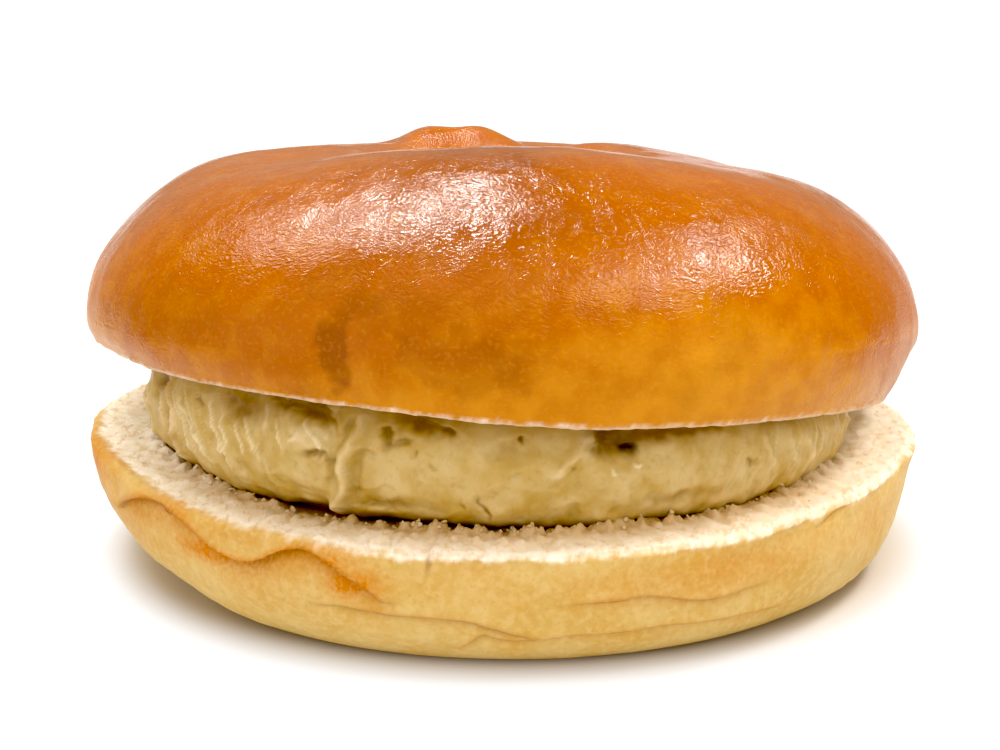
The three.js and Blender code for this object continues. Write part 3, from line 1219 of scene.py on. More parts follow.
    def bank(self, angle: Array, radius: Array) -> Array:
        """Rise of the crumb against the patty: a bell just inside its outline, lower at two gaps."""
        gaps = sum(gap.at(angle) for gap in self.bank_gaps)
        height = self.bank_height * facing(angle, 85.0, 110.0) * (1.0 - gaps)
        return height * bell(radius - self.outline.at(angle) + self.bank_inset, self.bank_width)

    def soak_and_shade(self, angle: Array, radius: Array) -> Array:
        """Share to which the crumb is soaked, and painted shade by the patty.

        It is an even tint but for the whiter side, plus two soft rises to the patty's outline, which are
        strong at the front alone, plus a strong rise under the patty. The rises are partly the crumb's
        soaked colour and partly painted shade by and under the patty.

        Args:
            angle: Angles on the face.
            radius: Radii on the face.

        Returns:
            The share from zero to one.
        """
        inside = self.outline.at(angle) - radius
        edge = sum(rise.at(inside) for rise in self.damp_shade_rises)
        edge = mix(self.damp_shade_behind, 1.0, facing(angle, 45.0, 80.0)) * edge
        tint = self.whiter_side.size - self.whiter_side.at(angle)
        return np.clip(self.wet_shade_rise.at(inside) + edge + tint, 0.0, 1.0)

    def folded(
        self, plain: Array, angle: Array, radius: Array, height: Array, inward: Array
    ) -> tuple[Array, Array, Array, Array]:
        """Fold the wall, and work out where its crust is toasted, and where shade is painted in its creases.

        The toasting is the strongest of a soft haze, the blushes and the folds' own. The painted crease
        shade is the strongest of a short crack and the folds' painted shade lines.

        Args:
            plain: Points before the folds.
            angle: Their angles.
            radius: Their radii.
            height: Their heights.
            inward: Their way in from the rim.

        Returns:
            Radii and heights with the folds, how toasted the crust is, and how much crease shade is painted.
        """
        noise = Noise(self.seed)
        wall = self.fold_foot.at(inward) * (1.0 - self.fold_rim.at(inward))
        lifted = self.fold_lift.at(height) * (inward < 0.0)
        toasted = self.haze.at(self.haze_grain.at(noise, plain)) * self.haze_height.at(height)
        uneven = 1.0 + self.blush_grain.at(noise, plain)
        for blush in self.blushes:
            toasted = np.maximum(toasted, blush.cover(angle, height) * uneven)
        # Painted shade: the crack and the fold lines darken the colour where shade falls.
        crease_shade = self.nick.cover(angle + self.nick_wander.at(noise, plain), height)
        for fold in self.folds:
            out, droop, toast, line = fold.relief(angle, height)
            radius = radius + out * lifted
            height = height - droop * lifted * wall
            toasted = np.maximum(toasted, toast * lifted)
            crease_shade = np.maximum(crease_shade, line * lifted)
        return radius, height, np.clip(toasted, 0.0, 1.0), crease_shade

    def build(self) -> Shape:
        """Build the piece with its masks.

        Returns:
            The piece.
        """
        angle = self.steps.degrees()
        radius, height, inward = self.section(angle)
        face_radius = self.rim_radius - inward
        plain = around(radius, height, angle[None, :])
        wide = np.broadcast_to(angle[None, :], radius.shape)
        noise = Noise(self.seed)
        radius, height, toasted, crease_shade = self.folded(plain, wide, radius, height, inward)
        for bulge in self.rim_bulges:
            radius = radius + bulge.cover(wide, inward)
        rim = bell(inward, self.rim_spread)
        radius = radius + rim * self.rim_wander.at(noise, plain)
        height = height + rim * self.rim_wave.at(noise, plain) * (height > 1.0)
        points = around(radius, height, angle[None, :])
        open_face = self.open_rise.at(inward) * (face_radius > self.open_radius)
        skin = self.skin_rise.at(height) * (inward < 0.0) * (inward > self.hidden)
        push = open_face * self.crumb_relief(plain, wide, face_radius)
        push = push + skin * layered(self.dough, noise, plain)
        points = points + outward(points, True) * push[..., None]
        points[..., 1] += self.centre_y
        crumb = self.cut_rise.at(inward + layered(self.ragged, noise, plain) - self.thick_edge.at(wide))
        # Painted shade: the dips between the mounds, the crumb by the patty and the fold lines are darkened
        # in colour.
        hollows = (inward > 0.0) * self.hollows(plain, wide, face_radius)
        soaked_and_shade = (inward > 0.0) * self.soak_and_shade(wide, face_radius) + self.hollow_shade * hollows
        quads, triangles = ring_faces(*radius.shape, Closing.TUBE)
        piece = mesh_object("bagel_bottom_crust", points.reshape(-1, 3), quads, triangles)
        give_mask(piece, "crumb", crumb)
        give_mask(piece, "toasted", toasted)
        give_mask(piece, "crease_shade", np.maximum(crease_shade, self.hollow_line * hollows))
        give_mask(piece, "soaked_and_shade", np.clip(soaked_and_shade, 0.0, 1.0))
        return piece


@dataclass
class Tufts(Piece):
    """Torn tufts along the patty, and grains of crumb over the cut face, in one mesh.

    Sizes are least and greatest radii, and stretches least and greatest stretches upwards. The tufts
    scatter about a line that lies inset from the patty's outline. Roughness is the least and greatest
    reach of a lump's corners, and taper how far it is drawn in towards its top.
    """

    node = "bagel_bottom"
    slot = "pale_crust"
    bottom: BottomHalf
    tufts: int = 360
    grains: int = 160
    seed: int = 21
    tuft_sizes: Range = (0.14, 0.4)
    grain_sizes: Range = (0.1, 0.26)
    tuft_stretch: Range = (0.45, 1.1)
    grain_stretch: Range = (0.4, 0.8)
    inset: float = 0.6
    scatter: float = 0.5
    clear_rim: float = 2.5
    roughness: Range = (0.45, 1.5)
    taper: float = 0.35
    far_shrink: float = 0.6
    most_soaked_and_shade: float = 0.74

    @staticmethod
    def lump() -> tuple[Array, Array]:
        """Corners and faces of a ball with twenty sides, one in radius."""
        long = (1.0 + 5.0**0.5) / 2.0
        flat = np.array([(-1.0, long), (1.0, long), (-1.0, -long), (1.0, -long)])
        zero = np.zeros((4, 1))
        turned = np.hstack([flat[:, 1:], zero, flat[:, :1]])
        corners = np.concatenate([np.hstack([flat, zero]), np.hstack([zero, flat]), turned])
        faces = (
            (0, 11, 5), (0, 5, 1), (0, 1, 7), (0, 7, 10), (0, 10, 11), (1, 5, 9), (5, 11, 4), (11, 10, 2),
            (10, 7, 6), (7, 1, 8), (3, 9, 4), (3, 4, 2), (3, 2, 6), (3, 6, 8), (3, 8, 9), (4, 9, 5),
            (2, 4, 11), (6, 2, 10), (8, 6, 7), (9, 8, 1),
        )
        return corners / np.hypot(1.0, long), np.array(faces)

    def build(self) -> Shape:
        """Build the mesh with its masks.

        Each lump is a twenty-sided ball with its corners moved in and out at random, drawn in towards
        its top, turned about the upright, stretched upwards, and sunk into the face.

        Returns:
            The piece.
        """
        chance = np.random.default_rng(self.seed)
        bottom, count = self.bottom, self.tufts + self.grains
        tall = np.arange(count) < self.tufts
        angle = bottom.steps.gathered(2.0 * np.pi * chance.random(count))
        contact = bottom.outline.at(angle)
        spread = (bottom.rim_radius - contact - self.clear_rim) * chance.random(count) ** 2.0
        near = chance.normal(-self.inset, self.scatter, count)
        radius = contact + np.where(tall, near, spread - self.inset)
        plain = around(radius, bottom.cut_height(angle, radius), angle)
        large, small = (chance.uniform(*span, count) for span in (self.tuft_sizes, self.grain_sizes))
        size = np.where(tall, large, small) * (1.0 - self.far_shrink * (1.0 - facing(angle, 50.0, 85.0)))
        tufted, grained = (chance.uniform(*span, count) for span in (self.tuft_stretch, self.grain_stretch))
        stretch = np.where(tall, tufted, grained)
        middle = plain + np.array([0.0, 0.0, 1.0]) * bottom.crumb_relief(plain, angle, radius)[:, None]
        corners, faces = self.lump()
        uneven = chance.uniform(*self.roughness, (count, len(corners), 1))
        shape = corners[None, :, :] * uneven * size[:, None, None]
        shape[..., :2] *= (1.0 - self.taper * corners[:, 2])[None, :, None]
        swing = 2.0 * np.pi * chance.random((count, 1))
        across = shape[..., 0] * np.cos(swing) - shape[..., 1] * np.sin(swing)
        along = shape[..., 0] * np.sin(swing) + shape[..., 1] * np.cos(swing)
        points = middle[:, None, :] + np.stack([across, along, shape[..., 2] * stretch[:, None]], -1)
        points[..., 1] += bottom.centre_y
        triangles = (np.arange(count)[:, None, None] * len(corners) + faces[None, :, :]).reshape(-1, 3)
        piece = mesh_object("bagel_bottom_tufts", points.reshape(-1, 3), np.zeros((0, 4), int), triangles)
        give_mask(piece, "crumb", np.ones(count * len(corners)))
        # The tufts take the crumb's soaked colour and painted shade where they sit.
        soaked_and_shade = bottom.soak_and_shade(angle, radius) * chance.uniform(0.85, 1.1, count)
        give_mask(piece, "soaked_and_shade", np.repeat(np.clip(soaked_and_shade, 0.0, self.most_soaked_and_shade), len(corners)))
        return piece


# The top half


@dataclass(frozen=True)
class Lump:
    """A swelling or dip of the upper side: its place, height and spread."""

    x: float
    y: float
    height: float
    spread: float


@dataclass(frozen=True)
class Crease:
    """An upright crease or break in the wall: its angle, depth, spread and the heights it reaches."""

    angle: float
    depth: float
    spread: float
    low: float
    high: float


@dataclass
class TopHalf(Piece):
    """Top half of the bagel, tipped back by the patty.

    Rows are counts of rings.
    """

    node = "bagel_top"
    slot = "glazed_crust"
    bottom: BottomHalf
    seed: int = 8
    steps: RingSteps = RingSteps()
    centre: tuple[float, float, float] = (0.0, 2.6, 24.3)
    tip_back: float = 9.0
    roll: float = 1.0
    cut_slope: float = -0.043
    widest_radius: float = 56.1
    widest_height: float = 6.6
    cut_radius: float = 53.3
    crest_radius: float = 22.0
    crest_height: float = 29.3
    throat_radius: float = 7.5
    throat_height: float = 11.0
    hole_flare: float = 1.0
    right_bulge: Swell = Swell(-5.0, 30.0, 0.45)
    edge_fill: tuple[Swell, ...] = (Swell(-170.0, 30.0, 1.2), Swell(FRONT, 50.0, 0.8))
    edge_lifts: tuple[Patch, ...] = (
        Patch(-82.0, 0.0, 25.0, 2.4, -1.05),
        Patch(-160.0, 0.0, 14.0, 2.4, 0.9),
    )
    edge_spread: float = 0.8
    edge_wave: tuple[Grain, ...] = (Grain(0.16, 4.0, 3, 50.0), Grain(0.05, 0.9, 2, 55.0))
    edge_wander: Grain = Grain(0.2, 3.2, 3, 70.0)
    face_rows: int = 18
    wall_rows: int = 18
    shoulder_rows: int = 64
    funnel_rows: int = 24
    hole_rows: int = 6
    hidden: float = 30.0
    crust_rise: Rise = Rise(0.1, 1.2)
    crumb_rise: Rise = Rise(0.2, 1.0)
    cut_rise: Rise = Rise(0.1, 0.8)
    gloss_rise: Rise = Rise(9.0, 22.0)
    crust_swells: tuple[Grain, ...] = (
        Grain(0.22, 15.0, 1),
        Grain(0.1, 6.0, 1, 9.0),
        Grain(0.035, 2.6, 1, 19.0),
    )
    crumb_swells: Grain = Grain(0.15, 2.0, 2, 23.0)
    crumb_pores: tuple[Pores, ...] = (Pores(0.6, 2.2, 0.5), Pores(0.3, 1.2, 0.6, 31.0))
    fringe_share: float = 0.55
    fringe_grain: Grain = Grain(0.3, 1.1, 3, 37.0)
    fringe_rise: Rise = Rise(0.0, 0.6)
    brown_least: float = 0.2
    brown_rise: Rise = Rise(0.5, 13.0)
    brown_wander: Grain = Grain(3.0, 18.0, 1, 5.0)
    brown_side: Swell = Swell(-142.0, 34.0, 6.0)
    scorch_haze: Rise = Rise(0.25, 0.9, 0.2)
    scorch_grain: Grain = Grain(1.0, 12.0, 3, 77.0)
    scorch_least: float = 0.43
    scorch_rise: Rise = Rise(10.0, 24.0)
    scorch_front: Swell = Swell(-98.0, 24.0, 0.44)
    stain_grain: Grain = Grain(0.3, 3.0, 3, 88.0)
    stain_rise: Rise = Rise(0.3, 0.65)
    flow_ring: float = 28.0
    crease_fade: float = 4.0
    lumps: tuple[Lump, ...] = (
        Lump(-10.5, 20.0, 2.0, 4.8),
        Lump(-3.2, 20.5, 1.85, 4.0),
        Lump(6.2, 21.0, -1.2, 4.4),
        Lump(-18.0, 18.5, -1.2, 4.2),
        Lump(-35.0, 12.0, -0.4, 8.0),
        Lump(29.0, 14.0, -0.35, 8.0),
        Lump(2.0, -24.0, 1.5, 15.0),
        Lump(-26.0, -10.0, -1.0, 10.0),
        Lump(25.0, -8.0, -0.9, 10.0),
        Lump(16.0, 19.0, 0.2, 6.0),
        Lump(34.0, 6.0, -1.2, 11.0),
        Lump(-26.0, 12.0, -0.5, 7.0),
        Lump(-42.0, 0.0, 1.2, 10.0),
    )
    creases: tuple[Crease, ...] = (
        Crease(-110.5, 0.55, 3.0, 0.0, 15.0),
        Crease(-9.0, 1.2, 7.0, -6.0, 1.5),
        Crease(84.0, 0.5, 4.0, 0.0, 16.0),
    )
    stains: tuple[Patch, ...] = (
        Patch(-111.4, 7.0, 2.5, 5.8, 0.62),
        Patch(-108.0, 13.5, 3.5, 2.0, 0.14),
        Patch(-94.0, 6.5, 10.0, 4.5, 0.25),
        Patch(-140.0, 9.0, 14.0, 5.0, 0.12),
        Patch(-103.0, 12.0, 8.0, 3.5, 0.18),
    )
    pale_patches: tuple[Patch, ...] = (
        Patch(-62.0, 10.0, 18.0, 5.6, 0.42),
        Patch(-44.0, 3.5, 12.0, 3.0, 0.15),
        Patch(-24.0, 10.0, 14.0, 8.0, -0.35),
        # The patch at the left end is partly painted light on that end.
        Patch(-172.0, 5.0, 18.0, 9.0, 0.6),
    )

    def tilt(self) -> Array:
        """Turn of the half: first tipped back about X, then rolled about Y."""
        pitch, roll = np.radians([-self.tip_back, self.roll])
        about_x = np.array([
            [1.0, 0.0, 0.0],
            [0.0, np.cos(pitch), -np.sin(pitch)],
            [0.0, np.sin(pitch), np.cos(pitch)],
        ])
        about_y = np.array([
            [np.cos(roll), 0.0, np.sin(roll)],
            [0.0, 1.0, 0.0],
            [-np.sin(roll), 0.0, np.cos(roll)],
        ])
        return about_y @ about_x

    def cut_plane(self, x: Array, y: Array) -> Array:
        """Height of the half's cut plane over a place on the bottom half."""
        east, north, up = self.tilt() @ np.array([-self.cut_slope, 0.0, 1.0])
        return self.centre[2] - (east * (x - self.centre[0]) + north * (y - self.centre[1])) / up

    def crease_relief(self, angle: Array, height: Array) -> Array:
        """Sum of the creases: each a bell around its angle, fading beyond its heights."""
        total = np.zeros(np.broadcast(angle, height).shape)
        for crease in self.creases:
            reach = smooth(height, crease.low - self.crease_fade, crease.low)
            reach = reach * (1.0 - smooth(height, crease.high, crease.high + self.crease_fade))
            total -= crease.depth * reach * bell(turn(crease.angle, angle), crease.spread)
        return total

    def lump_relief(self, angle: Array, radius: Array) -> Array:
        """Sum of the lumps: each a bell around its place."""
        x, y = radius * np.cos(np.radians(angle)), radius * np.sin(np.radians(angle))
        return sum(lump.height * bell(np.hypot(x - lump.x, y - lump.y), lump.spread) for lump in self.lumps)

    def section(self, angle: Array) -> tuple[Array, Array, Array]:
        """Sections at every angle, from the hole out over the cut face, up the wall and into the hole.

        Below its widest ring the wall draws in with a square. The shoulder and the funnel are quarter
        ellipses that meet at the crest, and the lumps lift both.

        Args:
            angle: Angles of the columns.

        Returns:
            Radii, heights, and the way up from the cut edge, negative on the cut face.
        """
        row = angle[None, :]
        slope = self.cut_slope * np.cos(np.radians(row))
        cut_hole = self.throat_radius + self.hole_flare
        cut = self.cut_radius + sum(fill.at(row) for fill in self.edge_fill)
        edge = cut + self.crease_relief(row, slope * self.cut_radius)
        share = 1.0 - np.linspace(1.0, 0.0, self.face_rows, endpoint=False)[:, None] ** 2
        face_radius = mix(cut_hole, edge, share)
        share = np.linspace(0.0, 1.0, self.wall_rows, endpoint=False)[:, None]
        low_height = mix(slope * self.cut_radius, self.widest_height, share)
        low_radius = mix(self.widest_radius, cut, (1.0 - share) ** 2)
        bulge = self.right_bulge.at(row)
        low_radius = low_radius + self.crease_relief(row, low_height) + bulge * share
        rise = np.pi / 2.0 * np.linspace(0.0, 1.0, self.shoulder_rows, endpoint=False)[:, None]
        radius = mix(self.crest_radius, self.widest_radius, np.cos(rise))
        height = mix(self.widest_height, self.crest_height, np.sin(rise))
        lift = smooth(height, self.widest_height, self.crest_height)
        top_radius = radius + (self.crease_relief(row, height) + bulge) * np.cos(rise)
        top_height = height + self.lump_relief(row, radius) * lift
        fall = np.pi / 2.0 * np.linspace(0.0, 1.0, self.funnel_rows, endpoint=False)[:, None]
        radius = mix(self.crest_radius, self.throat_radius, np.sin(fall))
        height = mix(self.throat_height, self.crest_height, np.cos(fall))
        lift = smooth(height, self.widest_height, self.crest_height)
        funnel_height = height + self.lump_relief(row, radius) * lift
        share = np.linspace(0.0, 1.0, self.hole_rows, endpoint=False)[:, None]
        hole_radius = mix(self.throat_radius, cut_hole, share)
        hole_height = mix(self.throat_height, slope * cut_hole, share)
        ones = np.ones_like(row)
        radii = [face_radius, low_radius, top_radius, radius * ones, hole_radius * ones]
        heights = [slope * face_radius, low_height, top_height, funnel_height, hole_height]
        upward = [face_radius - edge, low_height - slope * self.cut_radius, top_height]
        upward += [np.full_like(inside, self.hidden) for inside in (funnel_height, hole_height)]
        return np.concatenate(radii), np.concatenate(heights), np.concatenate(upward)

    def build(self) -> Shape:
        """Build the piece with its masks.

        Returns:
            The piece.
        """
        angle = self.steps.degrees()
        radius, height, upward = self.section(angle)
        wide = np.broadcast_to(angle[None, :], radius.shape)
        plain = around(radius, height, angle[None, :])
        noise = Noise(self.seed)
        edge = bell(upward, self.edge_spread)
        height = height + edge * layered(self.edge_wave, noise, plain)
        for lift in self.edge_lifts:
            height = height + lift.cover(wide, upward)
        radius = radius + edge * self.edge_wander.at(noise, plain)
        points = around(radius, height, angle[None, :])
        crust = self.crust_rise.at(upward)
        crumbs = self.crumb_swells.at(noise, plain) - layered(self.crumb_pores, noise, plain)
        push = crust * layered(self.crust_swells, noise, plain) + self.crumb_rise.at(-upward) * crumbs
        points = points + outward(points, True) * push[..., None]
        points = points @ self.tilt().T + np.array(self.centre) + np.array([0.0, self.bottom.centre_y, 0.0])
        quads, triangles = ring_faces(*radius.shape, Closing.TUBE)
        piece = mesh_object("bagel_top_crust", points.reshape(-1, 3), quads, triangles)
        give_flow(piece, wide, points, self.flow_ring)
        fringe = 1.0 - self.fringe_rise.at(upward + self.fringe_grain.at(noise, plain))
        give_mask(piece, "crumb", np.maximum(self.cut_rise.at(-upward), self.fringe_share * fringe))
        give_mask(piece, "browned", self.browning(plain, wide, upward))
        give_mask(piece, "scorched", self.scorching(plain, wide, upward) * crust)
        give_mask(piece, "dull", (1.0 - self.gloss_rise.at(upward)) * (1.0 - facing(wide, 35.0, 75.0)))
        return piece

    def browning(self, plain: Array, angle: Array, upward: Array) -> Array:
        """Share of browning: a soft rise from the cut edge that wanders, less the pale patches; the one at
        the left end is partly painted light.
        """
        lifted = upward + self.brown_wander.at(Noise(self.seed), plain) + self.brown_side.at(angle)
        browned = mix(self.brown_least, 1.0, self.brown_rise.at(lifted))
        return browned - sum(patch.cover(angle, upward) for patch in self.pale_patches)

    def scorching(self, plain: Array, angle: Array, upward: Array) -> Array:
        """Share of scorching: a haze, plus a rise to the upper side, plus the stains with ragged edges."""
        noise = Noise(self.seed)
        haze = self.scorch_haze.at(self.scorch_grain.at(noise, plain))
        upper = (self.scorch_least + self.scorch_front.at(angle)) * self.scorch_rise.at(upward)
        ragged = self.stain_grain.at(noise, plain)
        covers = ((stain.strength, stain.cover(angle, upward) / stain.strength) for stain in self.stains)
        return haze + upper + sum(most * self.stain_rise.at(cover + ragged) for most, cover in covers)


# The patty


@dataclass(frozen=True)
class Dent:
    """A bulge or hollow of the patty's edge, with the tint that it has.

    Attributes:
        angle: Its middle around the patty.
        height: Its middle above the table.
        out: How far it stands out, negative for a hollow.
        across: Its spread along the edge, in degrees.
        up: Its spread in height.
        browned: How browned it is; in a hollow this is partly painted shade.
        burnt_and_shade: How burnt it is; mostly this is painted deep shade in hollows.
        milky_and_glint: How pale it is, and on two small bulges a painted glint.
        crisp: How steep its sides are, from one for a plain bell.
    """

    angle: float
    height: float
    out: float
    across: float
    up: float
    browned: float = 0.0
    burnt_and_shade: float = 0.0
    milky_and_glint: float = 0.0
    crisp: float = 1.0

    def cover(self, angle: Array, height: Array) -> Array:
        """Bell of the oval distance from the middle, with that distance raised to the crispness."""
        oval = (turn(self.angle, angle) / self.across) ** 2 + ((height - self.height) / self.up) ** 2
        return np.exp(-(oval**self.crisp))


@dataclass(frozen=True)
class Thread:
    """A thread of flesh, or a furrow, that runs up the patty's edge.

    Attributes:
        course: (height, angle) points that it follows.
        out: How far it stands out, negative for a furrow.
        spread: Its spread to either side, in degrees.
        browned: How browned it is; in a furrow this is partly painted shade.
        milky_and_glint: How pale it is.
    """

    course: Course
    out: float
    spread: float
    browned: float = 0.0
    milky_and_glint: float = 0.0

    def cover(self, angle: Array, height: Array) -> Array:
        """Bell of the turn from the course, fading over 1.2 mm at the course's ends."""
        low, high = self.course[0][0], self.course[-1][0]
        present = smooth(height, low - 1.2, low + 0.3) * (1.0 - smooth(height, high - 0.3, high + 1.2))
        return present * bell(turn(0.0, angle - course_at(self.course, height)), self.spread)


@dataclass
class Patty(Piece):
    """The thick patty between the halves."""

    node = "patty"
    slot = "patty"
    bottom: BottomHalf
    top: TopHalf
    seed: int = 15
    steps: RingSteps = RingSteps()
    edge_depth: float = 4.2
    edge_power: float = 0.8
    clearance: float = 0.35
    undercut: float = 0.2
    flat_radii: Range = (6.0, 36.0)
    flat_rows: int = 6
    edge_rows: int = 118
    edge_rise: Rise = Rise(0.0, 0.5)
    undercut_rise: Rise = Rise(0.0, 0.22)
    lift_rise: Rise = Rise(0.0, 0.4)
    lift_edge: Rise = Rise(0.0, 0.2)
    foot_lift: Course = (
        (-260.0, 0.0), (-170.0, 0.0), (-138.0, 0.0), (-127.0, 0.2), (-119.0, 0.8), (-115.5, 0.2),
        (-113.0, 0.0), (-108.0, 0.6), (-102.0, 0.2), (-94.0, 0.0), (80.0, 0.0),
    )
    bend: Grain = Grain(1.2, 2.3, 3, 100.0)
    rise: Grain = Grain(0.6, 2.1, 3, 120.0)
    thread_bend: float = 0.35
    swells: tuple[Grain, ...] = (Grain(0.5, 7.0, 3), Grain(0.12, 1.8, 2, 9.0))
    ridge_height: float = 0.35
    ridge_grain: Grain = Grain(2.0, 6.0, 2, 5.0)
    foot_grain: Grain = Grain(0.5, 5.0, 2, 3.0)
    foot_band: Range = (0.12, 0.14)
    foot_draw: float = 0.2
    fibrous: tuple[Swell, ...] = (Swell(-146.0, 17.0, 0.6), Swell(-34.0, 18.0, 0.65))
    fibre_slants: Range = (1.0, -0.8)
    fibre_level: float = 22.0
    fibre_height: float = 0.35
    fibre_crest: float = 0.2
    fibre_milk: float = 0.55
    fibre_rise: Rise = Rise(0.15, 0.4)
    fibre_turn: Rise = Rise(-120.0, -60.0)
    fibre_grain: Grain = Grain(1.0, 2.2, 2)
    fibre_draw: float = 8.0
    degree_length: float = 0.82
    crest_spread: float = 0.1
    brown_grain: Grain = Grain(0.5, 1.6, 2, 140.0)
    foot_wander: Grain = Grain(0.04, 2.0, 1, 60.0)
    # Painted shade: the foot is browned and burnt where the patty meets the crumb, and the upper edge is
    # browned under the top half, there partly its own browning.
    foot_rise: Rise = Rise(0.03, 0.14)
    foot_shade: float = 0.8
    upper_brown_and_shade: Rise = Rise(0.62, 0.98, 0.5)
    deep_shade_rise: Rise = Rise(0.0, 0.07)
    foot_deep_shade: float = 0.25
    # Threads that sink in, the furrows, are browned partly as painted shade in them.
    threads: tuple[Thread, ...] = (
        Thread(((17.6, -115.3), (19.5, -114.9), (20.9, -113.6), (22.5, -113.3), (23.6, -113.7),
                (25.3, -113.4), (26.7, -112.7), (28.1, -111.9), (29.4, -111.4), (31.0, -111.4)),
               1.1, 1.05, milky_and_glint=0.22),
        Thread(((21.0, -111.6), (23.5, -112.0), (25.6, -111.4)), -0.6, 0.7, browned=0.22),
        Thread(((22.5, -115.6), (25.3, -115.4), (27.5, -114.2), (29.5, -113.2)), -0.5, 0.6, browned=0.22),
        Thread(((19.3, -149.4), (20.1, -152.1), (22.8, -152.4), (25.3, -152.9), (26.3, -155.0),
                (27.5, -157.0)), 0.8, 0.55, milky_and_glint=0.6),
        Thread(((20.5, -154.5), (22.8, -155.5), (25.3, -157.0), (27.0, -159.5)), -1.1, 1.2, browned=0.35),
        Thread(((22.2, -142.1), (24.3, -145.5), (26.4, -150.5)), 0.35, 0.36, milky_and_glint=0.8),
        Thread(((20.6, -139.8), (22.7, -143.7)), 0.3, 0.4, milky_and_glint=0.35),
        Thread(((22.4, -137.5), (24.4, -138.5), (26.5, -140.8), (27.6, -142.0)), 0.4, 0.34, milky_and_glint=1.0),
        Thread(((23.8, -136.4), (26.4, -138.1)), 0.3, 0.3, milky_and_glint=1.0),
        Thread(((23.8, -132.6), (26.4, -134.4)), 0.3, 0.3, milky_and_glint=1.0),
        Thread(((27.6, -128.4), (29.8, -128.6)), 0.3, 0.3, milky_and_glint=0.9),
        Thread(((21.5, -147.0), (24.5, -149.5), (27.0, -153.5)), 0.3, 0.28, milky_and_glint=0.9),
        Thread(((23.0, -144.0), (26.0, -146.5), (28.0, -149.5)), 0.3, 0.26, milky_and_glint=0.8),
        Thread(((21.0, -135.5), (23.5, -137.2)), 0.25, 0.26, milky_and_glint=0.8),
        Thread(((24.5, -130.6), (27.0, -132.4), (28.5, -133.0)), 0.25, 0.26, milky_and_glint=0.8),
        Thread(((22.0, -158.5), (25.0, -160.5), (26.5, -163.0)), 0.4, 0.4, milky_and_glint=0.8),
        Thread(((25.0, -124.6), (27.5, -126.4)), 0.25, 0.26, milky_and_glint=0.7),
        Thread(((26.2, -118.0), (27.8, -119.6), (28.6, -121.0)), 0.3, 0.3, milky_and_glint=0.8),
        Thread(((23.2, -129.4), (24.4, -130.0)), 0.3, 0.34, milky_and_glint=0.5),
        Thread(((18.8, -134.5), (21.5, -137.0)), -0.4, 0.7),
        Thread(((20.0, -126.0), (23.3, -128.5)), 0.3, 0.5, milky_and_glint=0.15),
        Thread(((19.5, -163.5), (22.0, -166.0), (24.5, -168.0)), 0.6, 0.8, milky_and_glint=0.5),
        Thread(((20.5, -170.5), (23.0, -173.0)), 0.6, 0.9, milky_and_glint=0.5),
        Thread(((19.1, -91.5), (20.1, -92.1), (20.9, -93.2)), -0.2, 0.32, browned=0.85),
        Thread(((24.0, -81.7), (24.8, -81.1), (26.7, -79.0), (28.9, -76.9)), 0.9, 1.4, milky_and_glint=0.3),
        Thread(((19.8, -37.5), (22.5, -39.0), (25.5, -39.6)), 0.35, 0.6, milky_and_glint=0.25),
        Thread(((19.8, -33.5), (22.5, -35.0), (25.0, -35.6)), 0.35, 0.6, milky_and_glint=0.25),
        Thread(((20.3, -43.0), (22.8, -44.5), (25.5, -45.0)), 0.3, 0.6, milky_and_glint=0.2),
    )
